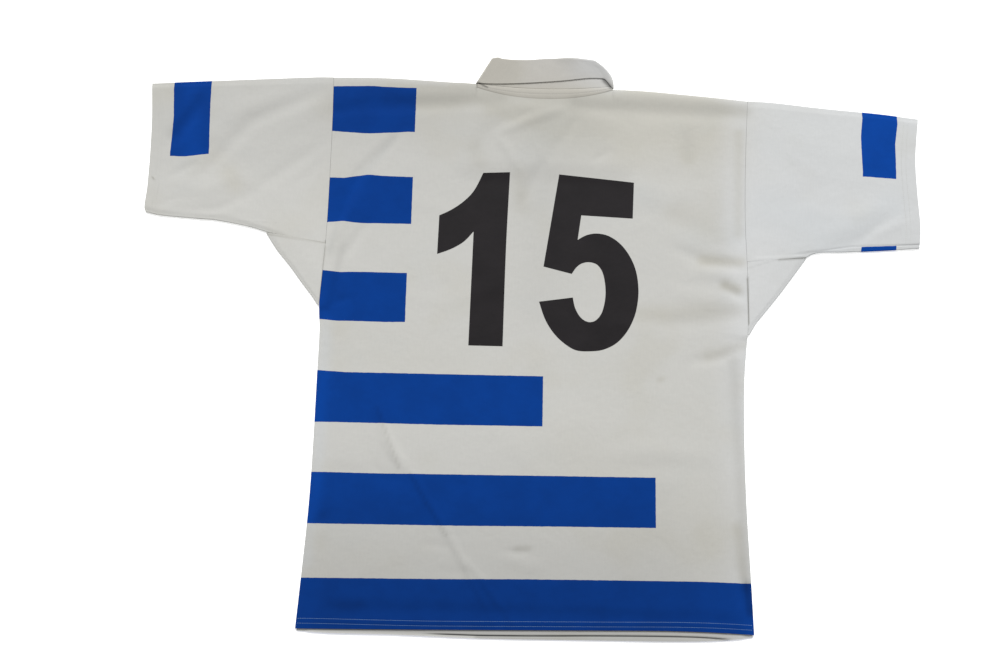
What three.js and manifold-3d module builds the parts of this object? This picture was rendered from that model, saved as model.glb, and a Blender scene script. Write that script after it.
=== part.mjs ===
// Rugby shirt laid flat with its back uppermost.
// Millimetres, +Z up, +X to the wearer's right, collar towards +Y, front panel on the surface at z = 0.
import * as THREE from 'three';
import { mergeVertices } from 'three/addons/utils/BufferGeometryUtils.js';
import Module from 'manifold-3d';

const wasm = await Module();
wasm.setup();

// Walls and clearances
const CLOTH_WALL = 1.2;
const COLLAR_WALL = 1.4;
const SEAM_GAP = 0.3;
const PLY_GAP = 0.5;

// Folded and turned edges
const ROLL_RADIUS = 1.2;
const ROLL_FOOT = 0.15;
const ROLL_STEPS = [0, 45, 90];
const FLAT_EDGE_STEP = 0.7;
const EDGE_SOFTNESS = 14;
const FOLD_ANGLES = [45, 90, 135];

// Neck and collar
const NECK_CENTRE = 15;
const NECK_HALF_WIDTH = 97.3;
const BACK_NECK_Y = 347.5;
const BACK_NECK_RISE = 15.5;
const COLLAR_SEAM_Y = 362.9;
const COLLAR_SEAM_RISE = 6;
const FRONT_NECK_DEPTH = 75;
const BAND_WIDTH = 15;
const STAND_HALF_GAP = 1.15;
const COLLAR_FOLD_RADIUS = 1;
const FALL_LEVEL = COLLAR_WALL / 2;
const FRONT_STAND_LEVEL = FALL_LEVEL + 2 * COLLAR_FOLD_RADIUS;
const NECK_LEVEL = FRONT_STAND_LEVEL + STAND_HALF_GAP;
const ROLL_BULGE = 2.2;
const FRONT_STAND_HEIGHT = 20;
const FRONT_FALL_DEPTH = 62;
const COLLAR_END_GAP = 2;

// The cloth lies higher over the collar's front falls
const NECK_RISE = 2;
const NECK_LIFT = 0.7;
const NECK_ZONE_HALF_WIDTH = 102;
const NECK_ZONE_Y = 252;
const NECK_ZONE_SOFTNESS = 36;

// Placket at the centre front
const PLACKET_WIDTH = 30;
const PLACKET_LENGTH = 148;

// Relief of the upper ply
const RELIEF_BASE = 1;
const RELIEF_MID = 1.4;
const SEAM_DIP = 0.7;
const SEAM_DIP_WIDTH = 9;

const table = (columns, rows) => rows.map(
  row => Object.fromEntries(columns.map((name, index) => [name, row[index]])));

// Side seam below the gusset and armhole seam above it
const SIDES = table(['y', 'left', 'right'], [
  [-412, -301.9, 299.2],
  [-400, -301.4, 298.9],
  [-322, -297.5, 296.2],
  [-237, -293, 293],
  [-150, -291.6, 292],
  [-60, -291.9, 294],
  [0, -292.1, 299.8],
  [30, -293, 301.1],
  [80, -290.6, 301.6],
  [124, -288.5, 300.6],
  [160, -287.7, 299.8],
  [220, -287.5, 300.9],
  [290, -287.8, 303.8],
  [353, -289, 307.5],
  [377, -290, 308.8],
]);

const SHOULDERS = table(['x', 'y'], [
  [-290, 375.7],
  [-252, 376.5],
  [-204, 376.2],
  [-165, 374.4],
  [-107, 371.3],
  [-86.5, 369.6],
  [116.5, 364.9],
  [153, 365],
  [210, 360.9],
  [268, 356.1],
  [307.5, 352.3],
]);

const HEMS = table(['x', 'back', 'front'], [
  [-302, -405, -407.4],
  [-255, -404.5, -409.8],
  [-176, -403.5, -410],
  [-59, -401.8, -412.6],
  [97, -399.2, -411.9],
  [176, -398, -411.5],
  [228, -398.3, -410.3],
  [262, -399.2, -408.3],
  [299, -400.7, -403.9],
]);

// Each sleeve: shoulder tip, gusset corner at the armhole, gusset corner at the underarm,
// top fold and lower edge as y over x, cuff as x over y
const SLEEVES = {
  left: {
    shoulder: { x: -290, y: 375.7 },
    armpit: { x: -288.5, y: 123.7 },
    underarm: { x: -373.5, y: 137.9 },
    side: 'left',
    top: table(['x', 'y'], [[-552, 360], [-465, 365.8], [-362, 372.4], [-312, 375.4], [-290, 375.7]]),
    low: table(['x', 'y'], [
      [-544, 163.5],
      [-523, 159.2],
      [-466, 154.7],
      [-445, 153.4],
      [-398, 145.2],
      [-373.5, 137.9],
    ]),
    cuff: table(['y', 'x'], [[163.5, -544], [196, -545.3], [249, -545.5], [309, -547.6], [360, -552]]),
  },
  right: {
    shoulder: { x: 307.5, y: 352.3 },
    armpit: { x: 301, y: 109.3 },
    underarm: { x: 385, y: 117 },
    side: 'right',
    top: table(['x', 'y'], [[307.5, 352.3], [343, 350.8], [411, 343.9], [498, 336.5], [552, 330.1]]),
    low: table(['x', 'y'], [
      [385, 117],
      [394, 122],
      [408, 125.5],
      [439, 126.3],
      [488, 129.7],
      [543.5, 134.6],
    ]),
    cuff: table(['y', 'x'], [
      [134.6, 543.5],
      [165, 546],
      [214, 544.4],
      [260, 543.9],
      [290, 546.3],
      [330.1, 552],
    ]),
  },
};

// Folded edge of each underarm gusset, x over y, from its tip on the side seam
const GUSSETS = {
  left: table(['y', 'x'], [
    [30.5, -293],
    [43.3, -301.6],
    [65.3, -318.8],
    [88.2, -336.2],
    [111.8, -355.8],
    [137.9, -373.5],
  ]),
  right: table(['y', 'x'], [
    [1, 300],
    [20, 311.5],
    [34.4, 322.8],
    [58, 341.6],
    [81, 358.8],
    [117, 385],
  ]),
};

// Fold line and free edge of the collar across the back, against the share of the half width
const COLLAR_BACK = table(['share', 'fold', 'edge'], [
  [-1, 409.8, 370.2],
  [-0.66, 409.2, 368.9],
  [-0.34, 408.2, 370],
  [0, 409.3, 372.6],
  [0.3, 410.8, 376.4],
  [0.55, 412, 380],
  [0.75, 411.6, 381],
  [0.87, 410.6, 379.3],
  [0.95, 409.9, 375.5],
  [1, 409.6, 371],
]);

// Large folds of the upper ply: from, by way of, to, width and height
const FOLDS = table(['x0', 'y0', 'x1', 'y1', 'x2', 'y2', 'width', 'height'], [
  [-277, 100, -252, 210, -190, 288, 17, -0.9],
  [-250, 110, -222, 200, -150, 262, 24, 0.9],
  [-270, 345, -175, 350, -80, 347, 13, -0.8],
  [81, 345, 190, 341, 298, 332, 13, -0.8],
  [44, 344, -2, 312, -49, 280, 14, 0.8],
  [44, 333, -12, 205, -54, 80, 18, -0.8],
  [64, 322, 52, 292, 40, 262, 16, 1],
  [292, 320, 288, 215, 286, 120, 14, -0.7],
  [164, 34, 225, 35, 292, 44, 16, -0.8],
  [200, 62, 240, 80, 294, 96, 20, 0.9],
  [276, -35, 277, -180, 288, -360, 13, -0.9],
  [250, -60, 252, -200, 262, -340, 20, 0.7],
  [-277, -24, -273, -130, -285, -350, 14, -0.8],
  [-210, -112, -186, -165, -140, -215, 12, 0.9],
  [-149, -206, -100, -288, -36, -392, 14, -0.9],
  [-120, -190, -64, -290, 4, -390, 20, 0.9],
  [-239, -374, -30, -374, 281, -370, 9, -0.5],
  [100, -120, 10, -150, -90, -130, 42, 0.6],
  [60, 180, 120, 60, 150, -60, 40, 0.5],
  [-456, 244, -408, 300, -332, 347, 18, -0.9],
  [-430, 225, -372, 275, -312, 305, 22, 0.9],
  [-534, 180, -440, 186, -372, 228, 15, -0.8],
  [-505, 205, -430, 214, -378, 245, 16, 0.7],
  [-512, 281, -490, 320, -470, 348, 12, -0.7],
  [407, 128, 455, 144, 502, 186, 16, -0.9],
  [400, 160, 450, 178, 492, 222, 20, 0.8],
  [318, 330, 316, 230, 322, 140, 16, -0.6],
  [350, 320, 420, 300, 500, 300, 34, 0.6],
]);

const radians = THREE.MathUtils.degToRad;
const mix = THREE.MathUtils.lerp;

function smooth(value) {
  const share = THREE.MathUtils.clamp(value, 0, 1);
  return share * share * (3 - 2 * share);
}

// A smooth curve through a table's rows, read at one column and giving another
function curve(rows, at, gives) {
  const slope = index => {
    const before = rows[Math.max(index - 1, 0)];
    const after = rows[Math.min(index + 1, rows.length - 1)];
    return (after[gives] - before[gives]) / (after[at] - before[at]);
  };
  return value => {
    let index = rows.findIndex(row => row[at] > value) - 1;
    index = index < -1 ? rows.length - 2 : Math.max(index, 0);
    const [start, end] = [rows[index], rows[index + 1]];
    const span = end[at] - start[at];
    const share = (value - start[at]) / span;
    const bend = smooth(share);
    const leave = share * (1 - share) ** 2 * span * slope(index);
    const arrive = share ** 2 * (share - 1) * span * slope(index + 1);
    return mix(start[gives], end[gives], share < 0 || share > 1 ? share : bend) + leave + arrive;
  };
}

const sideX = { left: curve(SIDES, 'y', 'left'), right: curve(SIDES, 'y', 'right') };
const shoulderY = curve(SHOULDERS, 'x', 'y');
const hemY = { back: curve(HEMS, 'x', 'back'), front: curve(HEMS, 'x', 'front') };
const gussetX = { left: curve(GUSSETS.left, 'y', 'x'), right: curve(GUSSETS.right, 'y', 'x') };
const collarFoldY = curve(COLLAR_BACK, 'share', 'fold');
const collarEdgeY = curve(COLLAR_BACK, 'share', 'edge');

const neckShare = x => Math.min(Math.abs(x - NECK_CENTRE) / NECK_HALF_WIDTH, 1);
const backNeckY = x => BACK_NECK_Y + BACK_NECK_RISE * neckShare(x) ** 2.2;
const frontNeckY = x => BACK_NECK_Y + BACK_NECK_RISE
  - FRONT_NECK_DEPTH * (1 - neckShare(x) ** 1.5);
const backBandTopY = x => COLLAR_SEAM_Y + COLLAR_SEAM_RISE * neckShare(x) ** 2;
const sideBandWidth = COLLAR_SEAM_Y + COLLAR_SEAM_RISE - BACK_NECK_Y - BACK_NECK_RISE;
const frontBandTopY = x => frontNeckY(x)
  + mix(BAND_WIDTH, sideBandWidth, neckShare(x) ** 3);

// Height of the cloth
function neckZone(x, y) {
  const aside = Math.max(0, Math.abs(x - NECK_CENTRE) - NECK_ZONE_HALF_WIDTH);
  const below = Math.max(0, NECK_ZONE_Y - y);
  return smooth(1 - Math.hypot(aside, below) / NECK_ZONE_SOFTNESS);
}

function foldHeight(fold, x, y) {
  const points = [[fold.x0, fold.y0], [fold.x1, fold.y1], [fold.x2, fold.y2]];
  let nearest = Infinity;
  let along = 0;
  for (let index = 0; index < 2; index += 1) {
    const [[ax, ay], [bx, by]] = [points[index], points[index + 1]];
    const [dx, dy] = [bx - ax, by - ay];
    const share = THREE.MathUtils.clamp(((x - ax) * dx + (y - ay) * dy) / (dx * dx + dy * dy), 0, 1);
    const distance = Math.hypot(x - ax - share * dx, y - ay - share * dy);
    if (distance < nearest) {
      nearest = distance;
      along = (index + share) / 2;
    }
  }
  const taper = Math.sqrt(Math.sin(Math.PI * THREE.MathUtils.clamp(along, 0.02, 0.98)));
  return fold.height * taper * Math.exp(-((nearest / fold.width) ** 2));
}

function seamDip(x, y) {
  const fromSeam = side => Math.abs(x - sideX[side](y));
  const above = y > GUSSETS.right[0].y ? 1 : 0;
  return above * ['left', 'right'].reduce(
    (sum, side) => sum + SEAM_DIP * Math.exp(-((fromSeam(side) / SEAM_DIP_WIDTH) ** 2)), 0);
}

function relief(x, y) {
  const height = FOLDS.reduce((sum, fold) => sum + foldHeight(fold, x, y), RELIEF_BASE) - seamDip(x, y);
  return RELIEF_MID * (1 + Math.tanh((height - RELIEF_MID) / RELIEF_MID));
}

// Stations along the flattened neck, as shares of its straight stretch
const HALF_SHARES = [0, 0.25, 0.5, 0.72, 0.88, 1];
const BACK_SHARES = [...HALF_SHARES.slice(1).reverse().map(share => -share), ...HALF_SHARES];
const NECK_STRAIGHT = NECK_HALF_WIDTH - STAND_HALF_GAP;

const lowerLevel = (x, y) => CLOTH_WALL / 2 + NECK_RISE * neckZone(x, y);
const upperLevel = (x, y, edgeDistance) => lowerLevel(x, y) + CLOTH_WALL + PLY_GAP
  + NECK_LIFT * neckZone(x, y) + relief(x, y) * smooth(edgeDistance / EDGE_SOFTNESS);

// A wall of even thickness around a grid of middle points; a closed grid joins its last column to its first
function wall(grid, thickness, closed = false) {
  const rows = grid.length;
  const columns = grid[0].length;
  const wrap = column => (column + columns) % columns;
  const sideways = (row, column, step) => {
    const next = closed ? wrap(column + step) : THREE.MathUtils.clamp(column + step, 0, columns - 1);
    return grid[row][next];
  };
  const normals = grid.map((points, row) => points.map((point, column) => {
    const across = sideways(row, column, 1).clone().sub(sideways(row, column, -1));
    const before = grid[Math.max(row - 1, 0)][column];
    const after = grid[Math.min(row + 1, rows - 1)][column];
    return across.cross(after.clone().sub(before)).normalize();
  }));
  const positions = [];
  for (const half of [thickness / 2, -thickness / 2]) {
    grid.forEach((points, row) => points.forEach((point, column) => {
      positions.push(...point.clone().addScaledVector(normals[row][column], half).toArray());
    }));
  }
  const outer = (row, column) => row * columns + wrap(column);
  const inner = (row, column) => rows * columns + outer(row, column);
  const indices = [];
  const quad = (a, b, c, d) => indices.push(a, b, c, a, c, d);
  const spans = closed ? columns : columns - 1;
  for (let row = 0; row < rows - 1; row += 1) {
    for (let column = 0; column < spans; column += 1) {
      quad(outer(row, column), outer(row, column + 1), outer(row + 1, column + 1), outer(row + 1, column));
      quad(inner(row, column), inner(row + 1, column), inner(row + 1, column + 1), inner(row, column + 1));
    }
    if (!closed) {
      const last = columns - 1;
      quad(outer(row, 0), outer(row + 1, 0), inner(row + 1, 0), inner(row, 0));
      quad(outer(row, last), inner(row, last), inner(row + 1, last), outer(row + 1, last));
    }
  }
  for (let column = 0; column < spans; column += 1) {
    const end = rows - 1;
    quad(outer(0, column), inner(0, column), inner(0, column + 1), outer(0, column + 1));
    quad(outer(end, column), outer(end, column + 1), inner(end, column + 1), inner(end, column));
  }
  return facingOut(positions, indices);
}

function facingOut(positions, indices) {
  const corner = index => new THREE.Vector3().fromArray(positions, 3 * index);
  let volume = 0;
  for (let index = 0; index < indices.length; index += 3) {
    const [a, b, c] = indices.slice(index, index + 3).map(corner);
    volume += a.dot(b.cross(c));
  }
  const geometry = new THREE.BufferGeometry();
  geometry.setAttribute('position', new THREE.Float32BufferAttribute(positions, 3));
  geometry.setIndex(volume > 0 ? indices : [...indices].reverse());
  return geometry;
}

function toSolid(geometry) {
  const merged = geometry.index && !geometry.attributes.uv ? geometry : mergeVertices(bare(geometry));
  return new wasm.Manifold(new wasm.Mesh({
    numProp: 3,
    vertProperties: new Float32Array(merged.attributes.position.array),
    triVerts: new Uint32Array(merged.index.array),
  }));
}

function bare(geometry) {
  const copy = geometry.clone();
  copy.deleteAttribute('normal');
  copy.deleteAttribute('uv');
  return copy;
}

function toGeometry(solid) {
  const mesh = solid.getMesh();
  const geometry = new THREE.BufferGeometry();
  geometry.setAttribute('position', new THREE.Float32BufferAttribute(mesh.vertProperties, 3));
  geometry.setIndex(Array.from(mesh.triVerts));
  return geometry;
}

// A point inside four edges, each edge a function of its share
function coons({ bottom, top, left, right }, u, v) {
  const [b, t, l, r] = [bottom(u), top(u), left(v), right(v)];
  const corners = [bottom(0), bottom(1), top(0), top(1)];
  const blend = key => mix(b[key], t[key], v) + mix(l[key], r[key], u)
    - mix(mix(corners[0][key], corners[1][key], u), mix(corners[2][key], corners[3][key], u), v);
  return { x: blend('x'), y: blend('y') };
}

// Millimetres square to an edge for each unit of share across it
function spacingAt(edges, u, v) {
  const step = 0.001;
  const here = coons(edges, u, v);
  const inward = coons(edges, u, v + (v < 0.5 ? step : -step));
  const beside = coons(edges, u + (u < 0.5 ? step : -step), v);
  return squareDistance(here, inward, beside) / step;
}

// Distance of one point from the line through two others
function squareDistance(start, point, end) {
  const [ax, ay] = [point.x - start.x, point.y - start.y];
  const [bx, by] = [end.x - start.x, end.y - start.y];
  return Math.abs(ax * by - ay * bx) / Math.hypot(bx, by);
}

const evenly = (count, start = 0, end = 1) => Array.from(
  { length: count + 1 }, (_, index) => mix(start, end, index / count));

// How far each line of points near an edge lies inside it, and how far it is turned down:
// the last entry is the edge itself
function edgeProfile(turned, inset) {
  if (!turned) {
    return [3, 2, 1, 0].map(step => ({ inside: inset + step * FLAT_EDGE_STEP, turn: 0 }));
  }
  const arc = ROLL_STEPS.map(angle => ({
    inside: CLOTH_WALL / 2 + ROLL_RADIUS * (1 - Math.sin(radians(angle))),
    turn: ROLL_RADIUS * (1 - Math.cos(radians(angle))),
  }));
  return [...arc, { inside: CLOTH_WALL / 2, turn: Infinity }];
}

// Body panels
const SHOULDER_COLUMNS = { back: 7, front: 5 };
const BODY_ROWS = { back: 27, front: 16 };
const NECK_CORNER = { back: 1.6, front: 4.5 };
const NECK_CORNER_STEP = 3;

function panelEdges(panel) {
  const corners = {
    left: { low: hemY[panel](SIDES[0].left), high: SLEEVES.left.shoulder.y },
    right: { low: hemY[panel](SIDES[0].right), high: SLEEVES.right.shoulder.y },
  };
  const side = name => share => {
    const y = mix(corners[name].low, corners[name].high, share);
    return { x: sideX[name](y), y };
  };
  const [left, right] = [side('left'), side('right')];
  const neckY = panel === 'back' ? backNeckY : frontNeckY;
  const neckReach = NECK_HALF_WIDTH + NECK_CORNER[panel];
  const inNeck = x => Math.abs(x - NECK_CENTRE) < neckReach + NECK_CORNER_STEP / 2;
  return {
    corners,
    neckReach,
    inNeck,
    left,
    right,
    bottom: share => {
      const x = mix(left(0).x, right(0).x, share);
      return { x, y: mix(left(0).y, right(0).y, share) + hemY[panel](x) - mix(hemY[panel](left(0).x),
        hemY[panel](right(0).x), share) };
    },
    top: share => {
      const x = mix(left(1).x, right(1).x, share);
      return { x, y: inNeck(x) ? neckY(x) : shoulderY(x) };
    },
  };
}

const TIP_ROWS = [-3, 3, 8];

function bodyPanel(panel) {
  const edges = panelEdges(panel);
  const width = edges.top(1).x - edges.top(0).x;
  const height = edges.corners.left.high - edges.corners.left.low;
  const turnedCloth = panel === 'back';
  const tuck = CLOTH_WALL + 3 * SEAM_GAP;
  const shareAt = x => (x - edges.top(0).x) / width;
  const shoulderEnd = sign => shareAt(NECK_CENTRE + sign * (edges.neckReach + NECK_CORNER_STEP));
  const neckEnd = sign => shareAt(NECK_CENTRE + sign * edges.neckReach);
  const inner = [
    ...evenly(SHOULDER_COLUMNS[panel], 0, shoulderEnd(-1)).slice(1),
    neckEnd(-1),
    ...BACK_SHARES.map(share => shareAt(NECK_CENTRE + share * NECK_STRAIGHT)),
    neckEnd(1),
    ...evenly(SHOULDER_COLUMNS[panel], shoulderEnd(1), 1).slice(0, -1),
  ];
  const tipShare = (name, shift) => (GUSSETS[name][0].y + shift - edges.corners[name].low)
    / (edges.corners[name].high - edges.corners[name].low);
  const tips = ['left', 'right'].flatMap(name => TIP_ROWS.map(shift => tipShare(name, shift)));
  const rowShares = evenly(BODY_ROWS[panel]).slice(0, -1)
    .filter(share => tips.every(tip => Math.abs(tip - share) > 0.012))
    .concat(tips)
    .sort((a, b) => a - b);

  const sideProfile = (name, share) => {
    const y = mix(edges.corners[name].low, edges.corners[name].high, share);
    const tip = GUSSETS[name][0].y + (turnedCloth ? 0 : TIP_ROWS[1] + 1);
    const below = y < tip;
    return edgeProfile(turnedCloth && below, below ? tuck : SEAM_GAP / 2);
  };
  const topProfile = share => {
    const onShoulder = !edges.inNeck(edges.top(share).x);
    return edgeProfile(turnedCloth && onShoulder, onShoulder && !turnedCloth ? tuck : SEAM_GAP / 2);
  };
  const place = (u, v, turn) => {
    const { x, y } = coons(edges, u, v);
    if (!turnedCloth) {
      return new THREE.Vector3(x, y, lowerLevel(x, y));
    }
    const fromSide = Math.min(
      y < GUSSETS.left[0].y ? u * width : Infinity,
      y < GUSSETS.right[0].y ? (1 - u) * width : Infinity,
      edges.inNeck(x) ? Infinity : (1 - v) * height);
    const level = upperLevel(x, y, fromSide);
    return new THREE.Vector3(x, y, Math.max(level - turn, ROLL_FOOT));
  };
  const rowAt = (v, turnOf) => {
    const leftLines = sideProfile('left', v).map(line => [line.inside / width, line.turn]).reverse();
    const rightLines = sideProfile('right', v).map(line => [1 - line.inside / width, line.turn]);
    const lines = [...leftLines, ...inner.map(share => [share, 0]), ...rightLines];
    return lines.map(([u, turn]) => place(u, v - turnOf(u).inside / height, Math.max(turn, turnOf(u).turn)));
  };
  const still = () => ({ inside: 0, turn: 0 });
  const grid = rowShares.map(share => rowAt(share, still));
  for (let line = 0; line < 4; line += 1) {
    grid.push(rowAt(1, share => topProfile(share)[line]));
  }
  return wall(grid, CLOTH_WALL);
}

function frontPanel() {
  const panel = toSolid(bodyPanel('front'));
  const neckEdge = frontNeckY(NECK_CENTRE);
  const slot = new THREE.BoxGeometry(PLACKET_WIDTH, PLACKET_LENGTH + 40, 40);
  slot.translate(NECK_CENTRE, neckEdge - PLACKET_LENGTH / 2 + 20, 0);
  return toGeometry(panel.subtract(toSolid(slot)));
}

// One strip that closes the neck opening and fills the slot in the front
function placket() {
  const halfWidth = PLACKET_WIDTH / 2 - SEAM_GAP;
  const foot = frontNeckY(NECK_CENTRE) - PLACKET_LENGTH + SEAM_GAP;
  const grid = evenly(12).map(v => evenly(4).map(u => {
    const x = NECK_CENTRE + mix(-halfWidth, halfWidth, u);
    const y = mix(foot, frontNeckY(x) - SEAM_GAP / 2, v);
    return new THREE.Vector3(x, y, lowerLevel(x, y));
  }));
  return wall(grid, CLOTH_WALL);
}

// Flattened tubes: upper ply, rounded fold, lower ply and rounded fold again
const plyMiddle = CLOTH_WALL + PLY_GAP / 2;
const foldRadius = (CLOTH_WALL + PLY_GAP) / 2;

function foldArc(angles) {
  return angles.map(angle => ({
    inside: CLOTH_WALL / 2 + foldRadius * (1 - Math.sin(radians(angle))),
    height: plyMiddle + foldRadius * Math.cos(radians(angle)),
  }));
}

const SLEEVE_COLUMNS = 10;
const SLEEVE_INSETS = [9, 28];
const LEAST_FOLD_SPACING = 60;
const SLEEVE_SHARES = evenly(6, 0.2, 0.8);
const ARMPIT_SHARE = 0.72;
const UNDERARM_LIFT = 0.9;

function sleeve(name) {
  const { shoulder, armpit, underarm, top, low, cuff, side } = SLEEVES[name];
  const outward = Math.sign(shoulder.x);
  const [topY, lowY, cuffX] = [curve(top, 'x', 'y'), curve(low, 'x', 'y'), curve(cuff, 'y', 'x')];
  const cuffEnds = [Math.max(...cuff.map(row => row.y)), Math.min(...cuff.map(row => row.y))];
  const seam = outward * SEAM_GAP / 2;
  const armhole = share => {
    if (share < ARMPIT_SHARE) {
      const y = mix(shoulder.y, armpit.y, share / ARMPIT_SHARE);
      return { x: sideX[side](y) + seam, y: y + SEAM_GAP / 2 };
    }
    const along = (share - ARMPIT_SHARE) / (1 - ARMPIT_SHARE);
    return {
      x: mix(armpit.x, underarm.x, along) + seam,
      y: mix(armpit.y, underarm.y, along) + SEAM_GAP / 2 + UNDERARM_LIFT * along ** 4,
    };
  };
  const edges = {
    left: share => {
      const y = mix(...cuffEnds, share);
      return { x: cuffX(y), y };
    },
    right: armhole,
    bottom: share => {
      const x = mix(cuffX(cuffEnds[0]), armhole(0).x, share);
      return { x, y: topY(x) + share * (armhole(0).y - topY(armhole(0).x)) };
    },
    top: share => {
      const x = mix(cuffX(cuffEnds[1]), armhole(1).x, share);
      return { x, y: lowY(x) + share * (armhole(1).y - lowY(armhole(1).x)) };
    },
  };
  const ring = along => {
    const [head, foot] = [edges.bottom(along), edges.top(along)];
    const depth = Math.hypot(head.x - foot.x, head.y - foot.y);
    const at = (share, level) => {
      const { x, y } = coons(edges, along, share);
      return new THREE.Vector3(x, y, level(x, y));
    };
    const rest = CLOTH_WALL / 2 + foldRadius;
    const fromFold = share => Math.max(spacingAt(edges, along, share), LEAST_FOLD_SPACING);
    const [topSpacing, lowSpacing] = [fromFold(0), fromFold(1)];
    const shares = [
      rest / topSpacing,
      ...SLEEVE_INSETS.map(inset => (rest + inset) / depth),
      ...SLEEVE_SHARES,
      ...SLEEVE_INSETS.map(inset => 1 - (rest + inset) / depth).reverse(),
      1 - rest / lowSpacing,
    ];
    const upper = shares.map(share => at(share, (x, y) => upperLevel(
      x, y, Math.min(share, 1 - share) * depth - rest)));
    const lower = shares.map(share => at(share, () => CLOTH_WALL / 2)).reverse();
    const lowFold = foldArc(FOLD_ANGLES)
      .map(({ inside, height }) => at(1 - inside / lowSpacing, () => height));
    const topFold = foldArc(FOLD_ANGLES).reverse()
      .map(({ inside, height }) => at(inside / topSpacing, () => height));
    return [...upper, ...lowFold, ...lower, ...topFold];
  };
  return wall(evenly(SLEEVE_COLUMNS).map(ring), CLOTH_WALL, true);
}

// A gusset is one triangle of cloth folded under along its outer edge
const GUSSET_ROWS = 8;
const GUSSET_TIP_SHARE = 0.12;
const GUSSET_SHARES = evenly(4);

function gusset(name) {
  const { armpit, underarm, side } = SLEEVES[name];
  const outward = Math.sign(armpit.x);
  const tipY = GUSSETS[name][0].y;
  const row = share => {
    const seamY = mix(tipY, armpit.y, share) - SEAM_GAP / 2;
    const foldY = mix(tipY, underarm.y, share) - SEAM_GAP / 2;
    const start = { x: sideX[side](seamY) + outward * SEAM_GAP / 2, y: seamY };
    const end = { x: gussetX[name](foldY), y: foldY };
    const reach = Math.hypot(end.x - start.x, end.y - start.y);
    const foldwards = squareDistance(end, start, { x: gussetX[name](foldY + 1), y: foldY + 1 });
    const rest = (CLOTH_WALL / 2 + foldRadius) * reach / foldwards;
    const at = (along, level) => {
      const [x, y] = [mix(start.x, end.x, along), mix(start.y, end.y, along)];
      return new THREE.Vector3(x, y, level(x, y));
    };
    const shares = GUSSET_SHARES.map(step => step * (1 - rest / reach));
    const upper = shares.map(along => at(along, (x, y) => upperLevel(x, y, (1 - along) * reach - rest)));
    const lower = shares.map(along => at(along, () => CLOTH_WALL / 2)).reverse();
    const fold = foldArc(FOLD_ANGLES).map(({ inside, height }) => at(1 - inside / foldwards, () => height));
    return [...upper, ...fold, ...lower];
  };
  return wall(evenly(GUSSET_ROWS, GUSSET_TIP_SHARE, 1).map(row), CLOTH_WALL);
}

// Stations round the flattened neck, from the centre front by the left side and the back
// to the centre front again
const TURN_ANGLES = [36, 72, 108, 144];

function neckStations() {
  const onPly = (share, facing) => ({
    x: NECK_CENTRE + share * NECK_STRAIGHT,
    share,
    facing,
    aside: 0,
  });
  const turn = sign => TURN_ANGLES.map(angle => ({
    x: NECK_CENTRE + sign * (NECK_STRAIGHT + STAND_HALF_GAP * Math.sin(radians(angle))),
    share: sign,
    facing: -Math.cos(radians(angle)),
    aside: sign * Math.sin(radians(angle)),
  }));
  const endShare = COLLAR_END_GAP / 2 / NECK_STRAIGHT;
  const half = HALF_SHARES.map(share => Math.max(share, endShare));
  return [
    ...half.map(share => onPly(-share, -1)),
    ...turn(-1),
    ...BACK_SHARES.map(share => onPly(share, 1)),
    ...turn(1).reverse(),
    ...half.map(share => onPly(share, -1)).reverse(),
  ];
}

const stationLevel = station => NECK_LEVEL + STAND_HALF_GAP * station.facing;
const frontness = station => (1 - station.facing) / 2;
const bandFootY = station => mix(backNeckY(station.x), frontNeckY(station.x), frontness(station));
const bandTopY = station => mix(backBandTopY(station.x), frontBandTopY(station.x), frontness(station));

function neckBand() {
  const rows = evenly(2);
  const grid = neckStations().map(station => rows.map(share => {
    const y = mix(bandFootY(station) + SEAM_GAP / 2, bandTopY(station) - SEAM_GAP / 2, share);
    return new THREE.Vector3(station.x, y, stationLevel(station));
  }));
  return wall(grid, CLOTH_WALL);
}

// The collar narrows upwards: how much of its width is left at a height above its seam
const COLLAR_HEIGHT = 41;
const LEFT_TAPER = 0.235;
const RIGHT_TAPER = 0.34;
const RIGHT_TAPER_POWER = 2.2;

function collarScale(share, height) {
  const rise = height / COLLAR_HEIGHT;
  const left = LEFT_TAPER * rise;
  const right = RIGHT_TAPER * Math.max(rise, 0) ** RIGHT_TAPER_POWER;
  return 1 - mix(left, right, smooth((share + 1) / 2));
}

const STAND_SHARES = [0, 0.35, 0.7];
const COLLAR_FOLD_ANGLES = [0, 45, 90, 135, 180];
const FALL_SHARES = [0.3, 0.65, 1];

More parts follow.
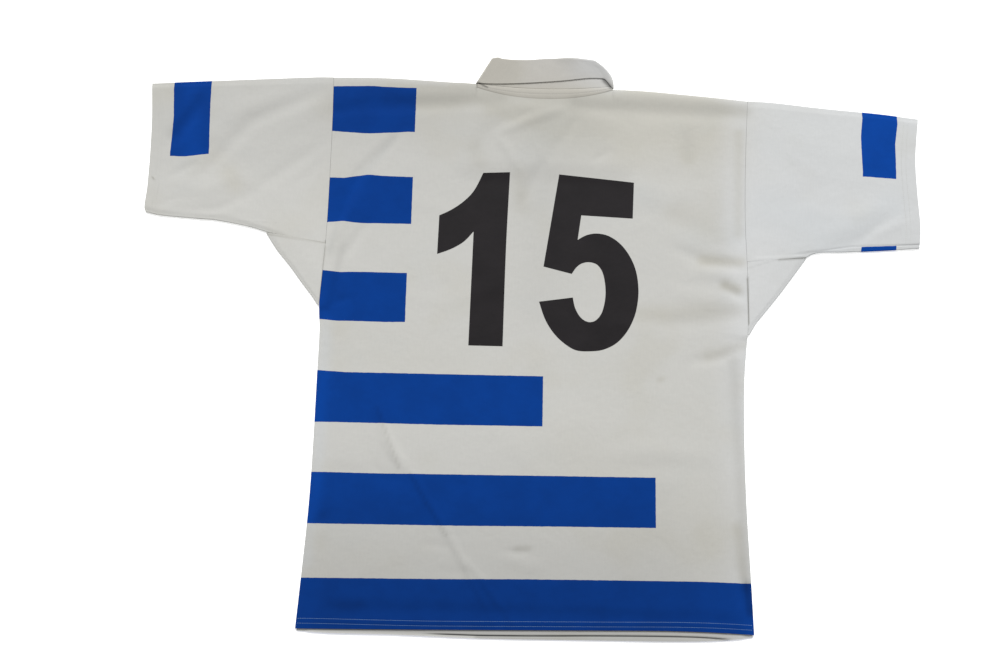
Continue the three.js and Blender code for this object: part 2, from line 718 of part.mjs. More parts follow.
function collar() {
  const grid = neckStations().map(station => {
    const seamY = bandTopY(station) + 1.5 * SEAM_GAP;
    const onFront = frontness(station);
    const inward = 1 - Math.abs(station.share);
    const backStand = collarFoldY(station.share) - seamY;
    const sideStand = collarFoldY(Math.sign(station.share)) - seamY;
    const frontStand = mix(sideStand, FRONT_STAND_HEIGHT, Math.sqrt(inward));
    const stand = mix(backStand, frontStand, onFront) - COLLAR_WALL / 2;
    const backFall = collarFoldY(station.share) - collarEdgeY(station.share);
    const fall = mix(backFall, mix(backFall, FRONT_FALL_DEPTH, smooth(1.6 * inward)), onFront);
    const bulge = ROLL_BULGE * smooth((station.share - 0.1) / 0.6) * Math.max(0, station.facing) ** 2;
    const radius = COLLAR_FOLD_RADIUS + bulge;
    const place = (height, out) => new THREE.Vector3(
      NECK_CENTRE + (station.x - NECK_CENTRE + station.aside * out) * collarScale(station.share, height),
      seamY + height,
      stationLevel(station) + station.facing * out);
    const rise = stand - radius;
    const fallFoot = stand - fall;
    return [
      ...STAND_SHARES.map(share => place(share * rise, 0)),
      ...COLLAR_FOLD_ANGLES.map(angle => place(
        rise + radius * Math.sin(radians(angle)), radius * (1 - Math.cos(radians(angle))))),
      ...FALL_SHARES.map(share => place(
        mix(rise, fallFoot, share), mix(2 * radius, 2 * COLLAR_FOLD_RADIUS + bulge, share))),
    ];
  });
  return wall(grid, COLLAR_WALL);
}

// Materials
const jersey = () => new THREE.MeshStandardMaterial({ color: 0xccccc5, roughness: 0.9, metalness: 0 });
const rib = () => new THREE.MeshStandardMaterial({ color: 0xbcb6a8, roughness: 0.95, metalness: 0 });

const PIECES = [
  { name: 'front', make: frontPanel, material: jersey },
  { name: 'placket', make: placket, material: jersey },
  { name: 'back', make: () => bodyPanel('back'), material: jersey },
  { name: 'sleeve_left', make: () => sleeve('left'), material: jersey },
  { name: 'sleeve_right', make: () => sleeve('right'), material: jersey },
  { name: 'gusset_left', make: () => gusset('left'), material: jersey },
  { name: 'gusset_right', make: () => gusset('right'), material: jersey },
  { name: 'neck_band', make: neckBand, material: rib },
  { name: 'collar', make: collar, material: rib },
];

const shirt = new THREE.Group();
for (const piece of PIECES) {
  const mesh = new THREE.Mesh(piece.make(), piece.material());
  mesh.name = piece.name;
  shirt.add(mesh);
}

// The origin is under the middle of the laid shirt
const reach = new THREE.Box3().setFromObject(shirt);
const centre = reach.getCenter(new THREE.Vector3());
shirt.position.set(-centre.x, -centre.y, -reach.min.z);
shirt.updateMatrixWorld(true);

export default shirt;
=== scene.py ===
"""Rugby shirt laid flat with its back uppermost: cloth, print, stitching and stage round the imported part."""

import math

import bmesh
import bpy
import numpy as np
from mathutils import Matrix, Vector


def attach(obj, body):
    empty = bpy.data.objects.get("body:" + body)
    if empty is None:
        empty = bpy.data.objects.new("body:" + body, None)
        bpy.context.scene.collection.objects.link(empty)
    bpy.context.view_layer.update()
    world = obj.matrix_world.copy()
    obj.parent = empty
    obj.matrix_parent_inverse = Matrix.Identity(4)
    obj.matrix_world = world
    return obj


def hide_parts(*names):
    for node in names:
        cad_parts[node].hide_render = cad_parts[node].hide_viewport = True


bl_info = {
    "name": "Rugby shirt",
    "version": (1, 0, 0),
    "blender": (4, 5, 0),
    "location": "3D View > Sidebar > Shirt",
    "description": "Builds the cloth, print and stitching of a laid rugby shirt",
    "category": "Object",
}

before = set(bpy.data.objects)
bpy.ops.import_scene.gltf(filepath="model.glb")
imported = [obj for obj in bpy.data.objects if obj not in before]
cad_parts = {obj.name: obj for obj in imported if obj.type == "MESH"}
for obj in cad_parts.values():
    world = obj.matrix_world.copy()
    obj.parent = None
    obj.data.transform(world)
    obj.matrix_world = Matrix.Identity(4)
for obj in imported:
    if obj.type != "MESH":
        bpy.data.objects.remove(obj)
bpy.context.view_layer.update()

BODY = "root"
MM = 0.001
# A distance from an edge that is too far away to count, mm
FAR = 1e3
# From the tables' frame to the part's, mm
SHIFT = np.array([0.0, 0.35, 0.0])

# Walls, clearances and folded edges, mm. The upper ply rises in a short step and then a long swell
CLOTH_WALL = 1.2
COLLAR_WALL = 1.4
SEAM_GAP = 0.3
PLY_GAP = 0.5
ROLL_RADIUS = 1.2
ROLL_FOOT = 0.15
EDGE_SOFTNESS = 7
EDGE_SWELL = 40
NECK_SOFTNESS = 22
TUCK = CLOTH_WALL + 3 * SEAM_GAP

# Neck and collar, mm
NECK_CENTRE = 15
NECK_HALF_WIDTH = 97.3
BACK_NECK_Y = 347.5
BACK_NECK_RISE = 15.5
COLLAR_SEAM_Y = 362.9
COLLAR_SEAM_RISE = 6
FRONT_NECK_DEPTH = 75
BAND_WIDTH = 15
STAND_HALF_GAP = 1.15
COLLAR_FOLD_RADIUS = 1
COLLAR_EDGE_REST = 1.65
NECK_LEVEL = COLLAR_WALL / 2 + 2 * COLLAR_FOLD_RADIUS + STAND_HALF_GAP
NECK_STRAIGHT = NECK_HALF_WIDTH - STAND_HALF_GAP
ROLL_BULGE = 2.2
FRONT_STAND_HEIGHT = 20
FRONT_FALL_DEPTH = 62
COLLAR_END_GAP = 2
COLLAR_HEIGHT = 41
LEFT_TAPER = 0.235
RIGHT_TAPER = 0.34
RIGHT_TAPER_POWER = 2.2

# The cloth lies higher over the collar's front falls, mm
NECK_RISE = 2
NECK_LIFT = 0.7
NECK_ZONE_HALF_WIDTH = 102
NECK_ZONE_Y = 252
NECK_ZONE_SOFTNESS = 36

PLACKET_WIDTH = 30
PLACKET_LENGTH = 148

# The relief's height before folds, the height about which it levels off, and the seams' dip, mm
RELIEF_BASE = 2
RELIEF_MID = 2.5
SEAM_DIP = 0.4
SEAM_DIP_WIDTH = 7


def table(columns, rows):
    return {name: np.array([row[index] for row in rows], float) for index, name in enumerate(columns)}


# Side seam below the gusset and armhole seam above it
SIDES = table(("y", "left", "right"), (
    (-412, -301.1, 299.2),
    (-400, -300.6, 298.9),
    (-322, -296.0, 296.2),
    (-237, -291.8, 293),
    (-150, -290.6, 292),
    (-60, -290.5, 294),
    (0, -290.5, 299.2),
    (30, -292.6, 300.9),
    (80, -290.6, 301.6),
    (124, -288.5, 300.6),
    (160, -287.7, 299.8),
    (220, -287.5, 300.9),
    (290, -287.8, 303.8),
    (353, -289, 307.5),
    (377, -290, 308.8),
))

SHOULDERS = table(("x", "y"), (
    (-290, 375.7),
    (-252, 376.5),
    (-204, 376.2),
    (-165, 374.4),
    (-107, 371.3),
    (-86.5, 369.6),
    (116.5, 364.9),
    (153, 365),
    (210, 360.9),
    (268, 356.1),
    (307.5, 352.3),
))

HEMS = table(("x", "back", "front"), (
    (-302, -405, -407.4),
    (-255, -404.5, -409.8),
    (-176, -403.5, -410),
    (-59, -401.8, -412.6),
    (97, -399.2, -411.9),
    (176, -398, -411.5),
    (228, -398.3, -410.3),
    (262, -399.2, -408.3),
    (299, -400.7, -403.9),
))

SLEEVES = {
    "left": {
        "shoulder": (-290, 375.7),
        "armpit": (-288.5, 123.7),
        "underarm": (-373.5, 137.9),
        "top": table(("x", "y"), ((-552, 360), (-465, 365.8), (-362, 372.4), (-312, 375.4), (-290, 375.7))),
        "low": table(("x", "y"), (
            (-544, 163.5),
            (-523, 159.2),
            (-466, 154.7),
            (-445, 153.4),
            (-398, 145.2),
            (-373.5, 137.9),
        )),
        "cuff": table(("y", "x"), (
            (163.5, -542.6),
            (167, -545.2),
            (173, -546),
            (186, -545.2),
            (200, -544.2),
            (249, -544.2),
            (309, -546.4),
            (360, -551),
        )),
    },
    "right": {
        "shoulder": (307.5, 352.3),
        "armpit": (301, 109.3),
        "underarm": (385, 117),
        "top": table(("x", "y"), ((307.5, 352.3), (343, 350.8), (411, 343.9), (498, 336.5), (552, 330.1))),
        "low": table(("x", "y"), (
            (385, 117),
            (394, 122),
            (408, 125.5),
            (439, 126.3),
            (488, 129.7),
            (543.5, 134.6),
        )),
        "cuff": table(("y", "x"), (
            (134.6, 543.5),
            (165, 546),
            (214, 544.4),
            (260, 543.9),
            (290, 546.3),
            (330.1, 552),
        )),
    },
}

# Folded edge of each underarm gusset, from its tip on the side seam
GUSSETS = {
    "left": table(("y", "x"), (
        (29.5, -292.8),
        (43.3, -301.6),
        (65.3, -318.8),
        (88.2, -336.2),
        (111.8, -355.8),
        (137.9, -373.5),
    )),
    "right": table(("y", "x"), (
        (-1.5, 299.2),
        (20, 311.5),
        (34.4, 322.8),
        (58, 341.6),
        (81, 358.8),
        (117, 385),
    )),
}

COLLAR_BACK = table(("share", "fold", "edge"), (
    (-1, 409.4, 370.2),
    (-0.93, 410.6, 370),
    (-0.85, 409, 369.8),
    (-0.66, 407.6, 370),
    (-0.34, 407.8, 371.6),
    (0, 410, 374.2),
    (0.3, 410.7, 377),
    (0.55, 411.5, 380.2),
    (0.7, 411.4, 381.8),
    (0.85, 410.4, 382),
    (0.92, 409.6, 380.5),
    (0.96, 409.2, 374),
    (1, 408.6, 367.5),
))

# Folds of the upper ply: from, by way of, to, width and height; troughs have a height below nothing
FOLD_COLUMNS = ("x0", "y0", "x1", "y1", "x2", "y2", "width", "height")
FOLDS = table(FOLD_COLUMNS, (
    # Along the shoulders and down the armhole seams
    (50, 337, 170, 335, 302, 330, 12, -3.0),
    (118, 325, 135, 315, 150, 308, 9, -0.7),
    (-292, 318, -262, 330, -225, 337, 7, -1.2),
    (-240, 336, -150, 335, -34, 342, 10, -2.6),
    (299, 325, 297, 230, 296, 132, 4, -0.9),
    (-302, 228, -304, 180, -302, 132, 4, -0.8),
    (-282, 322, -230, 327, -170, 332, 7, -1.4),
    # Out of the neck
    (42, 334, 0, 316, -54, 292, 7, 1.5),
    (-48, 284, -36, 268, -24, 242, 6, 1.2),
    (63, 318, 52, 303, 50, 286, 6, -1.1),
    (48, 296, 30, 272, 26, 250, 7, -1.0),
    (18, 254, 4, 230, -18, 178, 8, -1.8),
    (-28, 324, -64, 294, -82, 252, 12, -1.5),
    (-2, 331, -16, 321, -33, 309, 4, -0.7),
    (60, 332, 92, 320, 112, 290, 18, 0.8),
    (112, 268, 95, 260, 84, 252, 5, -0.8),
    (130, 240, 185, 228, 250, 232, 16, -0.7),
    (150, 178, 200, 170, 238, 146, 15, -1.2),
    # Into the left armhole and down the left side
    (-192, 288, -246, 228, -276, 150, 7, -2.9),
    (-238, 202, -262, 160, -284, 108, 5, 0.8),
    (-230, 158, -262, 104, -276, 18, 7, -2.2),
    (-284, 26, -268, 38, -246, 46, 5, -1.5),
    (-170, 262, -190, 220, -214, 190, 12, 0.6),
    (-274, 10, -276, -90, -280, -192, 6, -1.6),
    (-284, -272, -273, -262, -260, -252, 6, -1.0),
    (-266, -280, -276, -330, -284, -385, 8, -2.0),
    # Into the right armhole and down the right side
    (200, 126, 245, 107, 296, 101, 8, -2.0),
    (215, 88, 250, 92, 292, 88, 10, 0.8),
    (262, 78, 281, 63, 297, 54, 6, -1.8),
    (196, 62, 250, 54, 295, 48, 14, 1.3),
    (146, 22, 225, 18, 296, 34, 12, -1.1),
    (218, -38, 262, -30, 300, -12, 7, -1.7),
    (274, -40, 280, -160, 287, -306, 8, -1.7),
    (256, -60, 260, -160, 266, -290, 9, 0.5),
    (279, -306, 286, -345, 293, -386, 7, -2.0),
    # Across the lower back
    (-207, -103, -196, -140, -176, -186, 4.2, 2.1),
    (-196, -144, -181, -170, -160, -198, 8, 2.0),
    (-212, -184, -191, -204, -168, -213, 8, -1.3),
    (-264, -196, -236, -198, -204, -201, 8, -0.9),
    (-155, -196, -137, -230, -106, -276, 4.0, 1.8),
    (-112, -268, -90, -305, -42, -392, 4.0, 1.6),
    (-82, -310, -66, -330, -18, -392, 4.0, 1.5),
    (-140, -292, -118, -293, -98, -297, 5, -0.7),
    (-30, -299, -8, -300, 8, -298, 4, -1.2),
    (-36, -309, -5, -316, 26, -322, 8, 0.7),
    (-124, -326, -95, -328, -56, -330, 5, -0.5),
    (110, -190, 175, -184, 230, -186, 12, -0.7),
    (100, -165, 170, -160, 250, -166, 14, 0.7),
    (-256, -379, 0, -380, 294, -383, 8, -2.6),
    (-262, -378, -226, -381, -180, -376, 8, -1.4),
    (100, -120, 10, -150, -90, -130, 40, 0.7),
    (60, 180, 120, 60, 150, -60, 40, 0.6),
    # Left sleeve
    (-306, 353, -405, 302, -464, 226, 9, -2.9),
    (-330, 362, -420, 322, -478, 262, 13, 0.8),
    (-472, 340, -489, 310, -518, 264, 8, -2.9),
    (-474, 240, -490, 232, -514, 216, 5, -1.0),
    (-454, 268, -470, 260, -484, 253, 4, -0.5),
    (-500, 186, -512, 181, -526, 174, 4, -0.7),
    (-504, 164, -446, 169, -396, 195, 7, -1.3),
    (-404, 190, -350, 232, -300, 272, 9, -1.5),
    (-296, 250, -315, 225, -342, 209, 7, -0.7),
    (-360, 290, -320, 322, -296, 330, 14, 0.7),
    (-520, 214, -462, 196, -420, 214, 12, 0.8),
    # Right sleeve
    (412, 127, 456, 141, 508, 181, 7, -1.4),
    (402, 150, 452, 168, 496, 206, 14, 1.0),
    (470, 150, 500, 160, 528, 176, 8, 0.7),
    (318, 330, 316, 230, 320, 140, 12, -0.7),
    (350, 300, 420, 270, 500, 272, 22, 0.7),
    (340, 190, 372, 196, 420, 232, 14, -0.5),
))

# Fine creases, laid over the folds without softening
CREASES = table(FOLD_COLUMNS, (
    (-6, 291, 10, 266, 25, 243, 2.2, 0.45),
    (-214, -100, -205, -122, -196, -146, 1.8, -0.45),
    (191, 66, 193, 40, 196, 10, 2, -0.2),
    (209, -43, 213, -58, 219, -75, 3, -0.3),
    (60, -214, 64, -228, 70, -240, 3, -0.2),
    (-98, -196, -92, -208, -86, -222, 3, -0.25),
    (-70, 343, -58, 338, -44, 337, 5, 0.4),
    (-20, 338, 0, 335, 18, 336, 6, 0.4),
    (96, 345, 106, 342, 118, 343, 5, 0.35),
    (-83, 372, -76, 367, -68, 361, 2.2, -0.9),
    (150, -300, 165, -318, 172, -330, 5, -0.25),
    (-240, -300, -230, -316, -222, -330, 5, -0.25),
    (225, -262, 232, -290, 236, -320, 5, -0.25),
    (-528, 300, -524, 250, -520, 206, 4, -0.3),
    (506, 320, 500, 300, 503, 280, 6, -0.25),
))

# Soft folds pressed into the plies that lie on the surface
UNDER_FOLDS = table(FOLD_COLUMNS, (
    (-250, 250, -180, 190, -90, 170, 12, 0.45),
    (240, 260, 190, 180, 130, 150, 13, 0.4),
    (-230, 60, -120, 40, -30, 70, 10, 0.35),
    (60, 20, 150, 10, 240, 50, 12, 0.4),
    (-220, -90, -190, -200, -140, -310, 11, 0.45),
    (200, -70, 180, -190, 210, -320, 12, 0.45),
    (-60, -120, 10, -190, 90, -220, 14, 0.35),
    (-100, -330, 0, -345, 110, -335, 8, 0.3),
    (-480, 300, -420, 260, -350, 270, 11, 0.4),
    (-470, 200, -420, 220, -350, 190, 10, 0.35),
    (350, 280, 410, 240, 490, 230, 11, 0.4),
    (370, 190, 430, 180, 500, 190, 10, 0.35),
))


def smooth(value):
    share = np.clip(value, 0, 1)
    return share * share * (3 - 2 * share)


def mix(start, end, share):
    return start + (end - start) * share


def ease(value, start, full):
    """0 at the start and 1 where it is full, smoothly between the two."""
    return smooth((value - start) / (full - start))


def bell(distance, width):
    return np.exp(-((distance / width) ** 2))


def curve(rows, at, gives):
    """A smooth curve through a table's rows."""
    xs, ys = rows[at], rows[gives]
    spots = np.arange(len(xs))
    before, after = np.maximum(spots - 1, 0), np.minimum(spots + 1, len(xs) - 1)
    slopes = (ys[after] - ys[before]) / (xs[after] - xs[before])

    def value(v):
        v = np.asarray(v, float)
        index = np.clip(np.searchsorted(xs, v, side="right") - 1, 0, len(xs) - 2)
        span = xs[index + 1] - xs[index]
        share = (v - xs[index]) / span
        bend = np.where((share < 0) | (share > 1), share, smooth(share))
        leave = share * (1 - share) ** 2 * span * slopes[index]
        arrive = share ** 2 * (share - 1) * span * slopes[index + 1]
        return mix(ys[index], ys[index + 1], bend) + leave + arrive

    return value


SIDE_X = {side: curve(SIDES, "y", side) for side in ("left", "right")}
SHOULDER_Y = curve(SHOULDERS, "x", "y")
HEM_Y = {panel: curve(HEMS, "x", panel) for panel in ("back", "front")}
GUSSET_X = {side: curve(GUSSETS[side], "y", "x") for side in ("left", "right")}
COLLAR_FOLD_Y = curve(COLLAR_BACK, "share", "fold")
COLLAR_EDGE_Y = curve(COLLAR_BACK, "share", "edge")


def neck_share(x):
    return np.minimum(np.abs(x - NECK_CENTRE) / NECK_HALF_WIDTH, 1)


def back_neck_y(x):
    return BACK_NECK_Y + BACK_NECK_RISE * neck_share(x) ** 2.2


def front_neck_y(x):
    return BACK_NECK_Y + BACK_NECK_RISE - FRONT_NECK_DEPTH * (1 - neck_share(x) ** 1.5)


def back_band_top_y(x):
    return COLLAR_SEAM_Y + COLLAR_SEAM_RISE * neck_share(x) ** 2


def front_band_top_y(x):
    side_width = COLLAR_SEAM_Y + COLLAR_SEAM_RISE - BACK_NECK_Y - BACK_NECK_RISE
    return front_neck_y(x) + mix(BAND_WIDTH, side_width, neck_share(x) ** 3)


# Height of the cloth

# Share of a fold's length at which its taper stops
FOLD_END = 0.02


def neck_zone(x, y):
    aside = np.maximum(0, np.abs(x - NECK_CENTRE) - NECK_ZONE_HALF_WIDTH)
    below = np.maximum(0, NECK_ZONE_Y - y)
    return smooth(1 - np.hypot(aside, below) / NECK_ZONE_SOFTNESS)


def along_line(x, y, x0, y0, x1, y1, x2, y2):
    """Distance from a line of two stretches, and how far along it the nearest point lies."""
    nearest = np.full(np.shape(x), np.inf)
    along = np.zeros(np.shape(x))
    for index, (ax, ay, bx, by) in enumerate(((x0, y0, x1, y1), (x1, y1, x2, y2))):
        dx, dy = bx - ax, by - ay
        share = np.clip(((x - ax) * dx + (y - ay) * dy) / (dx * dx + dy * dy), 0, 1)
        distance = np.hypot(x - ax - share * dx, y - ay - share * dy)
        closer = distance < nearest
        nearest = np.where(closer, distance, nearest)
        along = np.where(closer, (index + share) / 2, along)
    return nearest, along


def fold_height(folds, x, y):
    total = np.zeros(np.shape(x))
    for row in zip(*(folds[name] for name in FOLD_COLUMNS)):
        nearest, along = along_line(x, y, *row[:6])
        taper = np.sqrt(np.sin(math.pi * np.clip(along, FOLD_END, 1 - FOLD_END)))
        total += row[7] * taper * bell(nearest, row[6])
    return total


def seam_dip(x, y):
    above = y > GUSSETS["right"]["y"][0]
    return above * SEAM_DIP * sum(bell(x - SIDE_X[side](y), SEAM_DIP_WIDTH) for side in SIDE_X)


SEAM_RIDGE = 0.35
SEAM_RIDGE_PLACE = 4
SEAM_RIDGE_WIDTH = 2
SEAM_RIDGE_FOOT = (20, 50)


def seam_ridge(x, y):
    """The allowance of the armhole seams, turned towards the body."""
    left = bell(x - SIDE_X["left"](y) - SEAM_RIDGE_PLACE, SEAM_RIDGE_WIDTH)
    right = bell(SIDE_X["right"](y) - x - SEAM_RIDGE_PLACE, SEAM_RIDGE_WIDTH)
    return SEAM_RIDGE * ease(y, *SEAM_RIDGE_FOOT) * (left + right)


HEM_ROWS = (4.6, 10.8)
# How far the rows of stitches leave the hem towards the side seams, and from where to where
HEM_ROW_RISES = ((2.2, -110, -300), (1.3, 130, 290))
HEM_ZONE_TOP = -300
HEM_FLATNESS = 0.5
HEM_FLAT_WIDTH = 26
HEM_DOUBLE_HEIGHT = 0.35
HEM_DOUBLE_FOOT = 3
HEM_STITCH_DIP = 0.28
HEM_STITCH_WIDTH = 1.3


def hem_row_rise(x):
    return sum(rise * ease(x, start, full) for rise, start, full in HEM_ROW_RISES)


def hem_relief(x, y):
    """The hem's double cloth, pulled down along its two rows of stitches."""
    inside = y - HEM_Y["back"](x) - hem_row_rise(x)
    double = HEM_DOUBLE_HEIGHT * ease(inside, HEM_ROWS[1] + HEM_DOUBLE_FOOT, HEM_ROWS[1])
    dips = sum(bell(inside - row, HEM_STITCH_WIDTH) for row in HEM_ROWS)
    return (y < HEM_ZONE_TOP) * (double - HEM_STITCH_DIP * dips)


LEAST_RELIEF = 0.05


def relief(x, y):
    """Height of the folds, which level off softly and lie flatter along the hem."""
    height = RELIEF_BASE + fold_height(FOLDS, x, y) - seam_dip(x, y)
    near_hem = mix(HEM_FLATNESS, 1, smooth((y - HEM_Y["back"](x)) / HEM_FLAT_WIDTH))
    flatness = np.where(y > HEM_ZONE_TOP, 1, near_hem)
    main = RELIEF_MID * (1 + np.tanh((height - RELIEF_MID) / RELIEF_MID)) * flatness
    fine = fold_height(CREASES, x, y) + seam_ridge(x, y) + hem_relief(x, y)
    return np.maximum(main + fine, LEAST_RELIEF)


UNDER_RELIEF_EDGE = 20


def under_relief(x, y, edge):
    return np.maximum(fold_height(UNDER_FOLDS, x, y), 0) * smooth(edge / UNDER_RELIEF_EDGE)


def lower_level(x, y):
    return CLOTH_WALL / 2 + NECK_RISE * neck_zone(x, y)


def upper_level(x, y, edge, swell_edge=None):
    """Middle of the upper ply, whose step and swell each make up half of the rise from its edges."""
    swell_edge = edge if swell_edge is None else swell_edge
    rest = lower_level(x, y) + CLOTH_WALL + PLY_GAP + NECK_LIFT * neck_zone(x, y)
    share = (smooth(edge / EDGE_SOFTNESS) + smooth(swell_edge / EDGE_SWELL)) / 2
    return rest + under_relief(x, y, edge) + relief(x, y) * share


# Meshes


def unit(vectors):
    return vectors / np.maximum(np.linalg.norm(vectors, axis=-1, keepdims=True), 1e-12)


def differences(grid, axis, closed):
    """From each point's neighbour before it to the one after it."""
    spots = np.arange(grid.shape[axis])
    mode = "wrap" if closed else "clip"
    return np.take(grid, spots + 1, axis=axis, mode=mode) - np.take(grid, spots - 1, axis=axis, mode=mode)


def grid_normals(grid, closed):
    return unit(np.cross(differences(grid, 1, closed), differences(grid, 0, False)))


def wall_mesh(name, grid, thickness, uv, closed=False, keep=None, materials=(), printed=1):
    """A wall of even thickness round middle points, mm. The printed side takes the first material."""
    rows, columns = grid.shape[:2]
    spans = columns if closed else columns - 1
    keep = np.ones((rows - 1, spans), bool) if keep is None else keep
    normals = grid_normals(grid, closed)
    points = np.concatenate([(grid + side * normals * thickness / 2).reshape(-1, 3) for side in (1, -1)])
    row, column = np.nonzero(keep)
    following = (column + 1) % columns
    corner = (row * columns + column, row * columns + following,
              (row + 1) * columns + following, (row + 1) * columns + column)
    cell_uv = np.stack([uv[row + up, column + aside] for up, aside in ((0, 0), (0, 1), (1, 1), (1, 0))], 1)
    upper = np.stack(corner, 1)
    lower = np.stack(corner[::-1], 1) + rows * columns
    rims, rim_uv = rim_cells(keep, closed, rows, columns, uv)
    quads = np.concatenate([upper, lower, rims])
    quad_uv = np.concatenate([cell_uv, cell_uv[:, ::-1], rim_uv])
    slots = np.concatenate([
        np.full(len(upper), 0 if printed > 0 else 1),
        np.full(len(lower), 1 if printed > 0 else 0),
        np.full(len(rims), 0),
    ])
    used, quads = np.unique(quads, return_inverse=True)
    quads = quads.reshape(-1, 4)
    points = points[used]
    if signed_volume(points, quads) < 0:
        quads = quads[:, ::-1]
        quad_uv = quad_uv[:, ::-1]
    return mesh_object(name + CLOTH_NAME, points, quads, quad_uv, slots, materials)


def rim_cells(keep, closed, rows, columns, uv):
    """Quads that join both sides of a wall wherever a kept cell has no kept neighbour."""
    quads, places = [], []
    count = rows * columns
    if closed:
        left_of, right_of = np.roll(keep, 1, axis=1), np.roll(keep, -1, axis=1)
    else:
        left_of = np.pad(keep, ((0, 0), (1, 0)))[:, :-1]
        right_of = np.pad(keep, ((0, 0), (0, 1)))[:, 1:]
    below = np.pad(keep, ((1, 0), (0, 0)))[:-1]
    above = np.pad(keep, ((0, 1), (0, 0)))[1:]
    sides = (
        (left_of, lambda r, c: ((r + 1, c), (r, c))),
        (right_of, lambda r, c: ((r, c + 1), (r + 1, c + 1))),
        (below, lambda r, c: ((r, c), (r, c + 1))),
        (above, lambda r, c: ((r + 1, c + 1), (r + 1, c))),
    )
    for neighbour, ends in sides:
        row, column = np.nonzero(keep & ~neighbour)
        (r0, c0), (r1, c1) = ends(row, column)
        start, end = r0 * columns + c0 % columns, r1 * columns + c1 % columns
        quads.append(np.stack([end, start, start + count, end + count], 1))
        places.append(np.stack([uv[r1, c1], uv[r0, c0], uv[r0, c0], uv[r1, c1]], 1))
    return np.concatenate(quads), np.concatenate(places)


def signed_volume(points, quads):
    a, b, c, d = (points[quads[:, index]] for index in range(4))
    return (np.einsum("ij,ij->i", a, np.cross(b, c)) + np.einsum("ij,ij->i", a, np.cross(c, d))).sum()


SHARP_EDGE = math.radians(58)
# Ending of a cloth piece's name, after the name of the solid that it stands for
CLOTH_NAME = "_cloth"


def mesh_object(name, points, faces, face_uv, slots, materials):
    mesh = bpy.data.meshes.new(name)
    mesh.from_pydata(((points + SHIFT) * MM).tolist(), [], faces.tolist())
    layer = mesh.uv_layers.new(name="cloth")
    layer.data.foreach_set("uv", (face_uv.reshape(-1, 2) * MM).astype(np.float32).ravel())
    mesh.polygons.foreach_set("material_index", slots.astype(np.int32))
    for material in materials:
        mesh.materials.append(material)
    mesh.update()
    mesh.shade_smooth()
    mesh.set_sharp_from_angle(angle=SHARP_EDGE)
    piece = bpy.data.objects.new(name, mesh)
    bpy.context.scene.collection.objects.link(piece)
    soil(piece, points)
    return piece


def one_finish(name, points, faces, material):
    """A mesh of one material, whose cloth lengths are its own x and y."""
    return mesh_object(name, points, faces, points[faces][..., :2], np.zeros(len(faces)), (material,))


